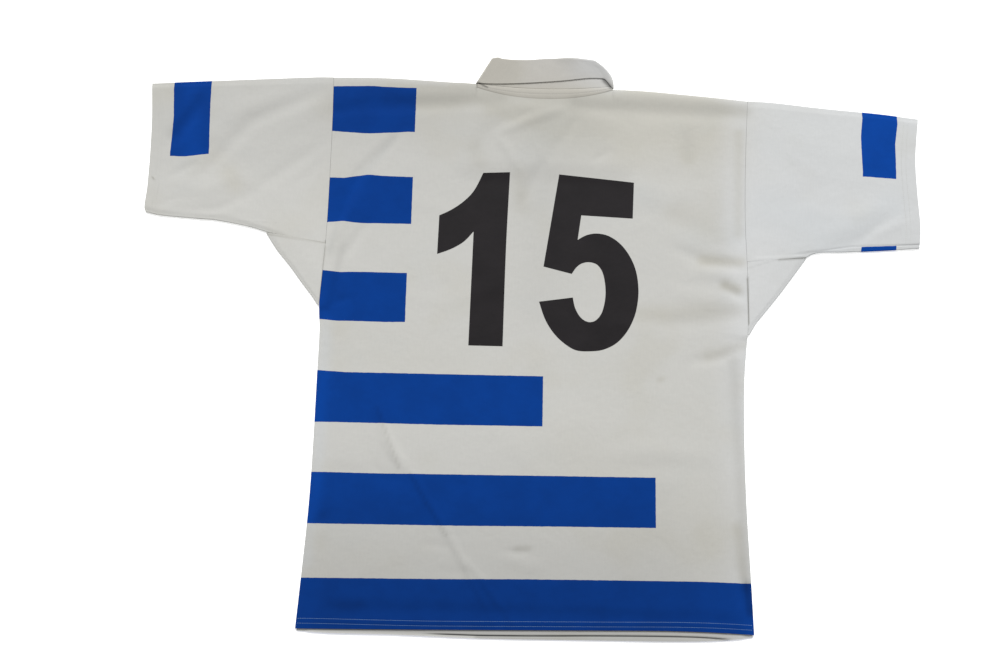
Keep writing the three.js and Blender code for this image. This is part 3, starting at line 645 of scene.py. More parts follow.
# Stains, wear and painted shade laid over the cloth: from, to, width, and the share of beige, of cool grey and
# of dark
SOIL_COLUMNS = ("x0", "y0", "x1", "y1", "width", "beige", "cool", "dark")
SOIL_AND_SHADE = table(SOIL_COLUMNS, (
    # Stains and tints. Where a row follows a fold or seam, as along the shoulders, by the right armhole and
    # down the right side, its dark is partly painted shade
    (40, 322, 250, 300, 60, 0.5, 0, 0.03),
    (219, 300, 221, 262, 11, 0.3, 0, 0.05),
    (-285, 330, -120, 350, 26, 0.3, 0, 0.05),
    (60, 344, 300, 336, 12, 0.35, 0, 0.12),
    (-210, 343, -50, 347, 12, 0.2, 0, 0.07),
    (-272, 120, -255, 205, 13, 0.1, 0.2, 0),
    (240, 110, 292, 108, 8, 0.6, 0, 0.04),
    (270, 74, 286, 68, 8, 0.8, 0, 0.12),
    (225, 140, 290, 150, 24, 0, 0.45, 0),
    (150, 28, 280, 38, 14, 0.3, 0, 0.03),
    (245, -28, 295, -10, 9, 0.3, 0, 0.04),
    (280, -35, 290, -340, 9, 0.15, 0, 0.10),
    (294, 300, 290, 150, 8, 0.4, 0, 0.05),
    (-430, 224, -421, 206, 14, 0.35, 0, 0),
    (-538, 214, -537, 213, 1.6, 0.5, 0, 0.3),
    (177, -63, 181, -61, 4, 0.3, 0, 0.05),
    (-14, -296, 2, -295, 4, 0.2, 0, 0.07),
    (-545, 340, -500, 350, 18, 0.3, 0, 0),
    (330, 190, 420, 150, 36, 0, 0.5, 0),
    (430, 150, 500, 190, 18, 0, 0.5, 0),
    (340, 330, 400, 300, 40, 0.1, 0.2, 0),
    (-60, 330, 10, 318, 14, 0.35, 0, 0.02),
    (-84, 270, -76, 248, 13, 0.2, 0, 0.04),
    (-20, 230, -14, 180, 12, 0.2, 0, 0.04),
    (0, 260, 30, 290, 24, 0, 0.35, 0),
    (90, 180, 150, 200, 24, 0, 0.4, 0),
    (-250, -20, -100, -60, 50, 0.15, 0, 0),
    (60, -180, 230, -260, 70, 0.2, 0, 0),
    (120, -60, 240, -120, 46, 0.1, 0.1, 0),
    (-260, -300, -180, -330, 30, 0.12, 0, 0),
    (-75, 390, -50, 392, 30, 0.95, 0, 0.05),
    # Painted light lightens and cools the collar's right end; painted shadow darkens the crescent under the
    # end of the fall
    (80, 400, 110, 385, 30, -0.5, 0.6, -0.06),
    (100, 378, 110, 368, 2.8, 0, 0, 0.6),
    # Painted shade, with a cool tint, along the folds into the left armhole and down the left side
    (-200, 282, -262, 190, 7, 0, 0.3, 0.05),
    (-262, 200, -283, 110, 5, 0, 0.2, 0.06),
    (-264, 120, -280, 30, 5, 0, 0, 0.06),
    (-281, 10, -283, -190, 10, -0.3, 0.6, 0.02),
    (-283, -210, -292, -320, 10, -0.3, 0.6, 0.01),
    (-490, 340, -490, 240, 24, 0, 0.4, 0),
    # Painted shade in the gap at the left neck corner, along a fold of the left sleeve, in the hem's trough
    # and in a fold at the lower left
    (-83, 371, -68, 363.5, 1.4, 0, 0, 0.5),
    (-513, 285, -481, 342, 9, 0, 0, 0.10),
    (-240, -375, -220, -374, 10, 0, 0, 0.10),
    (-278, -262, -270, -256, 7, 0, 0, 0.08),
    # Painted light lightens the front hem's lip below the back's hem, where that hem shades it
    (-295, -409, -70, -412, 2.6, 0, 0, -0.24),
    # Dark lines along the seams: partly their dark joints, partly painted shade in the gaps between the pieces
    (300.6, 86, 301.4, 18, 1.1, 0.5, 0, 0.4),
    (-375, 136, -289, 123, 1.2, 0.4, 0, 0.24),
    (345, 113, 384, 117, 1.6, 0.3, 0, 0.3),
    (-288, 118, -293, 36, 1.2, 0.2, 0, 0.10),
    (304, 100, 340, 112.5, 1.2, 0, 0, 0.08),
    # Painted shade beside the creases of the lower back and in the fold at the hem's right end; the last row
    # is a beige stain with a little painted shade up the right side
    (-207, -108, -174, -190, 2.6, 0.1, 0, 0.11),
    (-158, -200, -108, -280, 2.6, 0.1, 0, 0.09),
    (-108, -275, -45, -392, 3, 0, 0, 0.03),
    (-80, -315, -20, -392, 3, 0, 0, 0.03),
    (291, -336, 295, -372, 6, 0, 0, 0.28),
    (279, -262, 286, -325, 8, 0.4, 0, 0.05),
))
# Broad tints: kind, amount, and from where to where each grows, across and up. The first is painted shade,
# darker towards the top left
BROAD_TINTS = (
    ("dark", 0.10, (170, 10), (150, 320)),
    ("dark", 0.02, (300, 260), None),
    ("cool", 0.5, (250, 400), None),
    ("beige", 0.5, (300, 240), None),
)
HEM_SHADE = 0.24
HEM_SHADE_RIGHT = 0.65
BODY_SHADE = 0.04
NUMBER_SHADE = 0.04
NUMBER_SHADE_WIDTH = 45
GROOVE_SHADE = 0.75
GROOVE_SHADE_WIDTH = 0.8
SHOULDER_BEIGE = 0.2
SHOULDER_BEIGE_TOP = 366


# Stains, tints and painted shade of a piece's points, kept as its beige, cool and dark attributes
def soil(piece, points):
    x, y = points[:, 0], points[:, 1]
    totals = {name: np.zeros(len(points)) for name in ("beige", "cool", "dark")}
    for row in zip(*(SOIL_AND_SHADE[name] for name in SOIL_COLUMNS)):
        x0, y0, x1, y1, width = row[:5]
        nearest, _ = along_line(x, y, x0, y0, (x0 + x1) / 2, (y0 + y1) / 2, x1, y1)
        spread = bell(nearest, width)
        for name, amount in zip(totals, row[5:]):
            totals[name] += amount * spread
    for name, amount, across, up in BROAD_TINTS:
        totals[name] += amount * ease(x, *across) * (1 if up is None else ease(y, *up))
    # Painted shade: darker towards the hem, less so on the right, where the light falls off
    dark = HEM_SHADE * ease(y, -100, -430) * mix(1, HEM_SHADE_RIGHT, ease(x, 150, 270))
    dark += BODY_SHADE * ease(y, 250, 190) * ease(np.abs(x), 300, 260)
    dark += NUMBER_SHADE * bell(x - NECK_CENTRE, NUMBER_SHADE_WIDTH) * ease(y, -30, 50) * ease(y, 280, 220)
    # Painted shade in the groove along the front hem's lip
    dark += GROOVE_SHADE * groove_length(x) * bell(y - groove_y(x), GROOVE_SHADE_WIDTH)
    totals["dark"] += dark
    shoulders = ease(y, 250, 370) * ease(np.abs(x - 30), 330, 210) * (y < SHOULDER_BEIGE_TOP)
    totals["beige"] += SHOULDER_BEIGE * shoulders
    # The dark attribute holds painted shade as well as dirt
    for name, values in totals.items():
        layer = piece.data.attributes.new("soil_" + name, "FLOAT", "POINT")
        layer.data.foreach_set("value", np.clip(values, 0, 1).astype(np.float32))


def declare(piece, nodes=()):
    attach(piece, BODY)
    if nodes:
        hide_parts(*nodes)
    return piece


# Print edges of the body, from the hem upwards: where each one is drawn flat, and how it lies
PRINT_EDGES = (
    (-337, ((-290, -339.2), (-116, -337.4), (0, -335.2), (115, -334.2), (231, -333.4), (289, -334.4))),
    (-266, ((-290, -268.2), (-100, -267.4), (40, -265.6), (171, -264.6))),
    (-199, ((-290, -198.8), (-200, -199.2), (60, -197.6), (171, -197.0))),
    (-131, ((-290, -130.9), (-120, -131.6), (-20, -131.2), (18, -131.1))),
    (-61, ((-290, -58.8), (-250, -61.2), (-200, -61.1), (18, -61.1))),
    (11.4, ((-290, 13.1), (-267, 10.9), (-232, 10.9), (-200, 10.3), (-180, 11))),
    (81.8, ((-290, 83.6), (-267, 81.7), (-232, 82.1), (-180, 82))),
    (154.6, ((-290, 153.6), (-267, 155.9), (-249, 153.9), (-232, 153.4), (-180, 153.6))),
    (223.5, ((-290, 221.0), (-267, 220.5), (-249, 224.4), (-232, 226.3), (-214, 224.7), (-180, 224))),
    (290.8, ((-290, 291.3), (-249, 288.8), (-232, 288.5), (-214, 289.7), (-180, 292.2))),
    (361.4, ((-290, 360.8), (-232, 362.6), (-214, 361.5), (-180, 361))),
)
HOOPS = table(("end", "low", "high"), (
    (340, -460, -337),
    (171.2, -266, -199),
    (18.6, -131, -61),
    (-172.8, 11.4, 81.8),
    (-169.6, 154.6, 223.5),
    (-169.4, 290.8, 361.4),
))

# Bands of the sleeves: the edge across, the top ply's and the underarm seam's, drawn flat and as it lies
SLEEVE_PRINT = {
    "left": {
        "edges": (
            (150, ((-545, 157), (-466, 150), (-373, 134))),
            (251, ((-520, 247.6), (-495, 247.2), (-462, 252.2))),
            (400, ((-552, 400), (-290, 400))),
        ),
        "from": ((170, -516.2), (262, -516.2), (307, -515.4), (351, -518.8), (400, -519)),
        "to": ((170, -461.0), (262, -461.1), (300, -463.0), (330, -464.2), (352, -464.8), (400, -465)),
        "band": (-516, -464),
    },
    "right": {
        "edges": (
            (133, ((385, 117.5), (409, 128.5), (446, 134.4), (488, 136.6), (543, 139.8))),
            (239, ((469, 239.2), (514, 236.7))),
            (400, ((300, 400), (552, 400))),
        ),
        "from": ((120, 460), (150, 464), (248, 468.3), (280, 467.8), (300, 468.0), (328, 471.4), (360, 472)),
        "to": ((120, 510.3), (150, 512.3), (248, 516.1), (290, 516.8), (320, 521.8), (360, 522)),
        "band": (469, 516.5),
    },
}


def unwarp(values, lines):
    """Values between measured lines, moved so that each line lies at its flat place."""
    flat = np.array([place for place, _ in lines], float)[:, None]
    laid = np.stack([lie for _, lie in lines])
    result = values + (flat[0] - laid[0])
    for index in range(len(lines) - 1):
        low, high = laid[index], laid[index + 1]
        share = (values - low) / np.maximum(high - low, 1e-6)
        result = np.where(values >= low, flat[index] + share * (flat[index + 1] - flat[index]), result)
    return np.where(values > laid[-1], values + (flat[-1] - laid[-1]), result)


def body_uv(grid):
    x, y = grid[..., 0].ravel(), grid[..., 1].ravel()
    lines = [(flat, np.interp(x, *zip(*points))) for flat, points in PRINT_EDGES]
    return np.stack([x, unwarp(y, lines)], -1).reshape(*grid.shape[:2], 2)


# Body panels


EDGE_LINES = 7
EDGE_LINE_STEP = 0.45
ROLL_ANGLES = np.radians([0, 22.5, 45, 67.5, 90])


def edge_lines(turned, inset):
    """How far each line near an edge lies inside it, how far it is turned down, and its share of the drop."""
    if not turned:
        return [(inset + line * EDGE_LINE_STEP, 0.0, 0.0) for line in range(EDGE_LINES)][::-1]
    arc = [(CLOTH_WALL / 2 + ROLL_RADIUS * (1 - math.sin(angle)), ROLL_RADIUS * (1 - math.cos(angle)), 0.0)
           for angle in ROLL_ANGLES]
    return arc + [(CLOTH_WALL / 2, ROLL_RADIUS, 0.5), (CLOTH_WALL / 2, ROLL_RADIUS, 1.0)]


NECK_REACH = {"back": NECK_HALF_WIDTH + 0.6, "front": NECK_HALF_WIDTH + 4.5}
NECK_CORNER_STEP = 0.5
# Lines of points above the hem, the stretch between them and the top's lines, and the top's own depth
HEM_LINES = (0, 0.7, 1.4, 2.2, 3, 3.8, 4.6, 5.4, 6.4, 7.6, 8.8, 9.8, 10.8, 11.8, 13, 14.4, 16)
EVEN_FROM_HEM = 19
EVEN_TO_TOP = 6.5
TOP_DEPTH = 3
BETWEEN_GAP = 1.6
# The front's sides turn in later than the back's, and its rows are drawn to the foot of the slot
FRONT_TIP_RISE = 4
SLOT_LINE_GAP = 1.2
SLOT_ROWS = 8
SLOT_REACH = 40


def body_side(panel, side, cell, side_share, middle):
    """Points across one half of a panel for each row: place, turn, drop and distance from the side edge."""
    turned_cloth = panel == "back"
    sign = 1 if side == "left" else -1
    tip = gusset_tip(panel, side)
    side_y = mix(float(HEM_Y[panel](SIDES[side][0])), SLEEVES[side]["shoulder"][1], side_share)
    side_x = SIDE_X[side](side_y)
    turned = turned_cloth & (side_y < tip)
    inset = np.where(side_y < tip, TUCK, SEAM_GAP / 2)
    lines = np.array([edge_lines(*row) for row in zip(turned, inset)])
    edge_x = side_x[:, None] + sign * lines[..., 0]
    count = round(abs(middle - side_x.mean()) / cell)
    steps = np.linspace(0, 1, count + 1)[1:-1]
    start = edge_x[:, :1] + sign * BETWEEN_GAP
    x = np.concatenate([edge_x[:, ::-1], start + (middle - start) * steps], axis=1)
    flat = np.zeros((len(x), len(steps)))
    turn, drop = (np.concatenate([lines[:, ::-1, part], flat], 1) for part in (1, 2))
    return x, turn, drop, np.abs(x - side_x[:, None]), side_y


def gusset_tip(panel, side):
    return GUSSETS[side]["y"][0] + (0 if panel == "back" else FRONT_TIP_RISE)


def body_grid(panel, cell):
    """Middle points of a body panel, with lines of points closer together along its edges."""
    turned_cloth = panel == "back"
    neck_y = back_neck_y if turned_cloth else front_neck_y
    reach = NECK_REACH[panel]
    zone = reach + NECK_CORNER_STEP
    height = SLEEVES["left"]["shoulder"][1] - float(HEM_Y[panel](SIDES["left"][0]))
    shares = np.concatenate([
        np.array(HEM_LINES) / height,
        np.linspace(EVEN_FROM_HEM / height, 1 - EVEN_TO_TOP / height, round(height / cell)),
    ])
    rows = len(shares) + EDGE_LINES
    share_of = np.concatenate([shares, np.ones(EDGE_LINES)])
    side_share = np.concatenate([shares, np.linspace(1 - TOP_DEPTH / height, 1, EDGE_LINES)])
    halves = [body_side(panel, side, cell, side_share, NECK_CENTRE + sign * zone)
              for side, sign in (("left", -1), ("right", 1))]
    left_x, left_turn, left_drop, left_far, left_y = halves[0]
    right_x, right_turn, right_drop, right_far, right_y = halves[1]
    neck_x = np.concatenate([
        [NECK_CENTRE - zone, NECK_CENTRE - reach],
        NECK_CENTRE + np.linspace(-1, 1, 2 * round(NECK_STRAIGHT / cell) + 1) * NECK_STRAIGHT,
        [NECK_CENTRE + reach, NECK_CENTRE + zone],
    ])
    if not turned_cloth:
        slot = NECK_CENTRE + np.array([-PLACKET_WIDTH / 2, PLACKET_WIDTH / 2])
        neck_x = neck_x[np.abs(neck_x[:, None] - slot).min(1) > SLOT_LINE_GAP]
        neck_x = np.unique(np.concatenate([neck_x, slot]))
    neck = np.repeat(neck_x[None], rows, 0)
    flat = np.zeros_like(neck)
    x = np.concatenate([left_x, neck, right_x[:, ::-1]], 1)
    turn = np.concatenate([left_turn, flat, right_turn[:, ::-1]], 1)
    drop = np.concatenate([left_drop, flat, right_drop[:, ::-1]], 1)
    from_left = np.concatenate([left_far, flat + FAR, np.full(right_x.shape, FAR)], 1)
    from_right = np.concatenate([np.full(left_x.shape, FAR), flat + FAR, right_far[:, ::-1]], 1)
    top_x = x[-1]
    in_neck = np.abs(top_x - NECK_CENTRE) < reach + NECK_CORNER_STEP / 2
    top_y = np.where(in_neck, neck_y(top_x), SHOULDER_Y(top_x))
    y = mix(HEM_Y[panel](x[0]), top_y, share_of[:, None])
    shoulder_lines, neck_lines_in = edge_lines(turned_cloth, TUCK), edge_lines(False, SEAM_GAP / 2)
    for row, shoulder, neck_line in zip(range(rows - EDGE_LINES, rows), shoulder_lines, neck_lines_in):
        y[row] = top_y - np.where(in_neck, neck_line[0], shoulder[0])
        turn[row] = np.maximum(turn[row], np.where(in_neck, 0, shoulder[1]))
        drop[row] = np.maximum(drop[row], np.where(in_neck, 0, shoulder[2]))
    if not turned_cloth:
        slot_foot = float(front_neck_y(NECK_CENTRE)) - PLACKET_LENGTH
        middle_column = int(np.abs(top_x - NECK_CENTRE).argmin())
        row = int(np.abs(y[:, middle_column] - slot_foot).argmin())
        pull = (slot_foot - y[row, middle_column]) * bell(np.arange(rows) - row, SLOT_ROWS)
        y += pull[:, None] * (np.abs(x - NECK_CENTRE) < SLOT_REACH)
        y[row, np.abs(top_x - NECK_CENTRE) <= PLACKET_WIDTH / 2 + 0.01] = slot_foot
        level = lower_level(x, y) + under_relief(x, y, np.minimum(from_left, from_right)) + hem_lip(x, y)
        keep = np.ones((rows - 1, x.shape[1] - 1), bool)
        centres = (top_x[1:] + top_x[:-1]) / 2
        keep[row:, np.abs(centres - NECK_CENTRE) < PLACKET_WIDTH / 2] = False
        return np.stack([x, y, level], -1), keep
    from_top = (top_y - y) * np.where(in_neck, EDGE_SOFTNESS / NECK_SOFTNESS, 1)
    side_left = np.where(left_y[:, None] < gusset_tip(panel, "left"), from_left, FAR)
    side_right = np.where(right_y[:, None] < gusset_tip(panel, "right"), from_right, FAR)
    side = np.minimum(side_left, side_right)
    level = upper_level(x, y, np.minimum(side, from_top), np.minimum(side, SHOULDER_Y(x) - y)) - turn
    level = mix(level, ROLL_FOOT, drop)
    return np.stack([x, y, np.maximum(level, ROLL_FOOT)], -1), None


# Lip of the front hem where it shows below the back's
LIP_GROOVE = table(("x", "y"), (
    (-200, -407.6),
    (-117, -408.2),
    (-58, -408.8),
    (20, -407.8),
    (98, -406.1),
    (176, -405.1),
    (229, -405.3),
    (265, -407),
))
LIP_HEIGHT = 0.75
LIP_ZONE_TOP = -380
LIP_GROOVE_WIDTH = 0.9


def groove_y(x):
    return curve(LIP_GROOVE, "x", "y")(np.clip(x, LIP_GROOVE["x"][0], LIP_GROOVE["x"][-1]))


def groove_length(x):
    return ease(x, -140, -100) * ease(x, 272, 254)


def hem_lip(x, y):
    """The front hem's edge, rolled up below the back's, with a groove along it."""
    lip = ease(y - HEM_Y["back"](x), 2, -1) * ease(np.abs(x), 292, 278)
    lower = groove_length(x) * ease(y - groove_y(x), 0.6, -0.6)
    groove = groove_length(x) * bell(y - groove_y(x), LIP_GROOVE_WIDTH)
    return LIP_HEIGHT * (1.5 - 0.5 * lower) * (1 - groove) * lip * (y < LIP_ZONE_TOP)


def body_panel(name, cell, materials, printed):
    grid, keep = body_grid(name, cell)
    piece = wall_mesh(name, grid, CLOTH_WALL, body_uv(grid), keep=keep, materials=materials, printed=printed)
    return declare(piece, (name,))


# Sleeves

PLY_MIDDLE = CLOTH_WALL + PLY_GAP / 2
FOLD_RADIUS = (CLOTH_WALL + PLY_GAP) / 2
FOLD_ARC = np.radians([22.5, 45, 67.5, 90, 112.5, 135, 157.5])
FOLD_INSIDE = CLOTH_WALL / 2 + FOLD_RADIUS * (1 - np.sin(FOLD_ARC))
FOLD_HEIGHT = PLY_MIDDLE + FOLD_RADIUS * np.cos(FOLD_ARC)
FOLD_REST = CLOTH_WALL / 2 + FOLD_RADIUS
ARMPIT_SHARE = 0.72
UNDERARM_LIFT = 0.9
LEAST_FOLD_SPACING = 60


def pair(x, y):
    return np.stack(np.broadcast_arrays(x, y), -1)


def sleeve_edges(side):
    shape = SLEEVES[side]
    outward = 1 if side == "right" else -1
    seam = outward * SEAM_GAP / 2
    (_, sy), (ax, ay), (ux, uy) = (shape[key] for key in ("shoulder", "armpit", "underarm"))
    top_y, low_y = curve(shape["top"], "x", "y"), curve(shape["low"], "x", "y")
    cuff_x = curve(shape["cuff"], "y", "x")
    cuff_top, cuff_low = shape["cuff"]["y"].max(), shape["cuff"]["y"].min()

    def armhole(share):
        share = np.asarray(share, float)
        y = mix(sy, ay, share / ARMPIT_SHARE)
        along = (share - ARMPIT_SHARE) / (1 - ARMPIT_SHARE)
        seam_part = pair(SIDE_X[side](y) + seam, y + SEAM_GAP / 2)
        lift = SEAM_GAP / 2 + UNDERARM_LIFT * np.maximum(along, 0) ** 4
        under_part = pair(mix(ax, ux, along) + seam, mix(ay, uy, along) + lift)
        return np.where((share < ARMPIT_SHARE)[..., None], seam_part, under_part)

    def cuff(share):
        y = mix(cuff_top, cuff_low, np.asarray(share, float))
        return pair(cuff_x(y), y)

    start, end = armhole(0.0), armhole(1.0)

    def fold(y_of, cuff_y, corner):
        def line(share):
            share = np.asarray(share, float)
            x = mix(cuff_x(cuff_y), corner[0], share)
            return pair(x, y_of(x) + share * (corner[1] - y_of(corner[0])))
        return line

    return {
        "left": cuff,
        "right": armhole,
        "bottom": fold(top_y, cuff_top, start),
        "top": fold(low_y, cuff_low, end),
    }


def coons(edges, u, v):
    """Points inside four edges, at shares u along and v across."""
    u, v = np.broadcast_arrays(np.asarray(u, float), np.asarray(v, float))
    b, t, l, r = edges["bottom"](u), edges["top"](u), edges["left"](v), edges["right"](v)
    corners = [edges["bottom"](0.0), edges["bottom"](1.0), edges["top"](0.0), edges["top"](1.0)]
    u, v = u[..., None], v[..., None]
    low, high = mix(corners[0], corners[1], u), mix(corners[2], corners[3], u)
    return mix(b, t, v) + mix(l, r, u) - mix(low, high, v)


def spacing_at(edges, u, v):
    """Millimetres square to an edge for each unit of share across it."""
    step = 0.001
    here = coons(edges, u, v)
    inward = coons(edges, u, v + np.where(v < 0.5, step, -step)) - here
    beside = coons(edges, u + np.where(u < 0.5, step, -step), v) - here
    area = np.abs(inward[..., 0] * beside[..., 1] - inward[..., 1] * beside[..., 0])
    return area / np.hypot(beside[..., 0], beside[..., 1]) / step


SLEEVE_CELL = 3.6
SLEEVE_LENGTH = 264
# Lines of points near the cuff, near the armhole and beside the folds, mm, and their numbers round the tube
CUFF_LINES = np.array([0, 0.7, 1.6, 2.8])
ARMHOLE_LINES = np.array([1.4, 0])
EVEN_FROM_CUFF = 4
EVEN_TO_ARMHOLE = 3
SLEEVE_NEAR = np.array([1.2, 2.4, 3.4, 4.2, 5, 5.8, 6.6, 7.6, 9, 11, 13.5, 16.5, 20, 24, 28])
NEAR_CLEARANCE = 0.002
NEAR_COUNT = 14
MIDDLE_COUNT = 46
UNDERARM_SEAM_DIP = 0.75
UNDERARM_SEAM_WIDTH = 0.9
UNDERARM_SEAM_END = (398, 438)
# Lowest that the seam's groove and the under ply's folds may reach towards the folded edges
UNDERARM_SEAM_REST = 0.7
UNDER_FOLD_EDGE = 6
CUFF_ROWS = {"left": (11, 15.5), "right": (13.5, 20)}
CUFF_DOUBLE_HEIGHT = 0.3
CUFF_DOUBLE_FOOT = (2.5, -0.5)
CUFF_STITCH_DIP = 0.15
CUFF_STITCH_WIDTH = 1.1
CUFF_RELIEF_EDGE = 10


def cuff_relief(side, x, y, edge):
    """The cuff's hem, pulled down along its two rows of stitches and level at the folded edges."""
    inside = np.abs(x - curve(SLEEVES[side]["cuff"], "y", "x")(y))
    rows = CUFF_ROWS[side]
    double = CUFF_DOUBLE_HEIGHT * ease(inside - rows[1], *CUFF_DOUBLE_FOOT)
    dips = sum(bell(inside - row, CUFF_STITCH_WIDTH) for row in rows)
    return (double - CUFF_STITCH_DIP * dips) * smooth(edge / CUFF_RELIEF_EDGE)


def underarm_seam(x, y):
    """The groove of the right sleeve's underarm seam, which lies just above the fold."""
    line = np.interp(x, *zip(*SLEEVE_PRINT["right"]["edges"][0][1]))
    return UNDERARM_SEAM_DIP * ease(x, *UNDERARM_SEAM_END) * bell(y - line, UNDERARM_SEAM_WIDTH)


def resample(values, count):
    return np.interp(np.linspace(0, 1, count), np.linspace(0, 1, len(values)), values)


def sleeve_grid(side):
    """Rings of middle points round the flattened tube, from cuff to armhole, and the cloth's lengths."""
    edges = sleeve_edges(side)
    even = round(SLEEVE_LENGTH / SLEEVE_CELL)
    along = np.concatenate([
        CUFF_LINES / SLEEVE_LENGTH,
        np.linspace(EVEN_FROM_CUFF / SLEEVE_LENGTH, 1 - EVEN_TO_ARMHOLE / SLEEVE_LENGTH, even),
        1 - ARMHOLE_LINES / SLEEVE_LENGTH,
    ])
    grid, uv = [], []
    for u in along:
        depth = float(np.hypot(*(edges["bottom"](u) - edges["top"](u))))
        spacings = [float(spacing_at(edges, u, v)) for v in (0.0, 1.0)]
        top_spacing, low_spacing = np.maximum(spacings, LEAST_FOLD_SPACING)
        near = (FOLD_REST + SLEEVE_NEAR) / depth
        near = near[near > FOLD_REST / min(top_spacing, low_spacing) + NEAR_CLEARANCE]
        middle_count = 2 + round(depth * (1 - 2 * near[-1]) / SLEEVE_CELL)
        middle = resample(np.linspace(near[-1], 1 - near[-1], middle_count)[1:-1], MIDDLE_COUNT)
        near = resample(near, NEAR_COUNT)
        folds = FOLD_REST / top_spacing, 1 - FOLD_REST / low_spacing
        upper = np.concatenate([folds[:1], near, middle, 1 - near[::-1], folds[1:]])
        lower = upper[::-1][::2]
        points = coons(edges, u, upper)
        x, y = points[:, 0], points[:, 1]
        edge = np.minimum(upper * top_spacing, (1 - upper) * low_spacing) - FOLD_REST
        edge = np.maximum(np.minimum(edge, np.minimum(upper, 1 - upper) * depth - FOLD_REST), 0)
        z = upper_level(x, y, edge) + cuff_relief(side, x, y, edge)
        if side == "right":
            z = np.maximum(z - underarm_seam(x, y), PLY_MIDDLE + UNDERARM_SEAM_REST)
        under = coons(edges, u, lower)
        under_edge = np.minimum(lower, 1 - lower) * depth - UNDER_FOLD_EDGE
        under_z = CLOTH_WALL / 2 + under_relief(under[:, 0], under[:, 1], under_edge)
        ring = np.concatenate([
            np.column_stack([points, z]),
            np.column_stack([coons(edges, u, 1 - FOLD_INSIDE / low_spacing), FOLD_HEIGHT]),
            np.column_stack([under, under_z]),
            np.column_stack([coons(edges, u, FOLD_INSIDE[::-1] / top_spacing), FOLD_HEIGHT[::-1]]),
        ])
        grid.append(ring)
        uv.append(sleeve_uv(side, ring, len(upper)))
    return np.stack(grid), np.stack(uv)


def sleeve_uv(side, ring, upper_count):
    """The tube's cloth: as it lies on the upper ply, then unrolled on under the lower one."""
    closed = np.concatenate([ring, ring[:1]])
    steps = np.linalg.norm(np.diff(closed, axis=0), axis=1)
    travelled = np.concatenate([[0], np.cumsum(steps)])
    x, y = closed[:, 0], closed[:, 1].copy()
    last = upper_count - 1
    y[last:] = y[last] - (travelled[last:] - travelled[last])
    prints = SLEEVE_PRINT[side]
    lines = [(flat, np.interp(x, *zip(*points))) for flat, points in prints["edges"]]
    band = []
    for flat, key in zip(prints["band"], ("from", "to")):
        band.append((flat, np.interp(closed[:, 1], *zip(*prints[key]))))
    return np.stack([unwarp(x, band), unwarp(y, lines)], -1)


def sleeve(side, materials):
    grid, uv = sleeve_grid(side)
    name = "sleeve_" + side
    printed = 1 if side == "left" else -1
    piece = wall_mesh(name, grid, CLOTH_WALL, uv, closed=True, materials=materials, printed=printed)
    return declare(piece, (name,))


# Gussets

GUSSET_ROWS = 36
GUSSET_COLUMNS = 26
GUSSET_TIP_SHARE = 0.055


def gusset(side, materials):
    shape = SLEEVES[side]
    outward = 1 if side == "right" else -1
    tip_y = GUSSETS[side]["y"][0]
    grid = []
    for share in np.linspace(GUSSET_TIP_SHARE, 1, GUSSET_ROWS):
        seam_y = mix(tip_y, shape["armpit"][1], share) - SEAM_GAP / 2
        fold_y = mix(tip_y, shape["underarm"][1], share) - SEAM_GAP / 2
        start = np.array([SIDE_X[side](seam_y) + outward * SEAM_GAP / 2, seam_y])
        end = np.array([GUSSET_X[side](fold_y), fold_y])
        reach = float(np.hypot(*(end - start)))
        tangent = np.array([GUSSET_X[side](fold_y + 1), fold_y + 1]) - end
        line = start - end
        foldwards = abs(line[0] * tangent[1] - line[1] * tangent[0]) / np.hypot(*tangent)
        rest = FOLD_REST * reach / foldwards
        shares = np.linspace(0, 1, GUSSET_COLUMNS) * (1 - rest / reach)
        points = start + (end - start) * shares[:, None]
        z = upper_level(points[:, 0], points[:, 1], (1 - shares) * reach - rest)
        upper = np.column_stack([points, z])
        lower = np.column_stack([points[::-1], np.full(len(points), CLOTH_WALL / 2)])
        arc = 1 - FOLD_INSIDE / foldwards
        fold = np.column_stack([start + (end - start) * arc[:, None], FOLD_HEIGHT])
        grid.append(np.concatenate([upper, fold, lower]))
    grid = np.stack(grid)
    name = "gusset_" + side
    printed = -1 if side == "left" else 1
    piece = wall_mesh(name, grid, CLOTH_WALL, grid[..., :2].copy(), materials=materials, printed=printed)
    return declare(piece, (name,))


PLACKET_COLUMNS = 13
PLACKET_ROWS = 52


def placket(materials):
    half = PLACKET_WIDTH / 2 - SEAM_GAP
    foot = float(front_neck_y(NECK_CENTRE)) - PLACKET_LENGTH + SEAM_GAP
    across = NECK_CENTRE + np.linspace(-half, half, PLACKET_COLUMNS)
    up = np.linspace(0, 1, PLACKET_ROWS)[:, None]
    x = np.repeat(across[None], len(up), 0)
    y = mix(foot, front_neck_y(across) - SEAM_GAP / 2, up)
    z = lower_level(x, y) + under_relief(x, y, FAR)
    grid = np.stack([x, y, z], -1)
    piece = wall_mesh("placket", grid, CLOTH_WALL, grid[..., :2].copy(), materials=materials, printed=-1)
    return declare(piece, ("placket",))


# Neck band and collar, round the flattened neck from the centre front and back to it

HALF_SHARES = np.sin(np.linspace(0, 1, 31) * math.pi / 2)
TURN_ANGLES = np.radians(np.linspace(0, 180, 15)[1:-1])


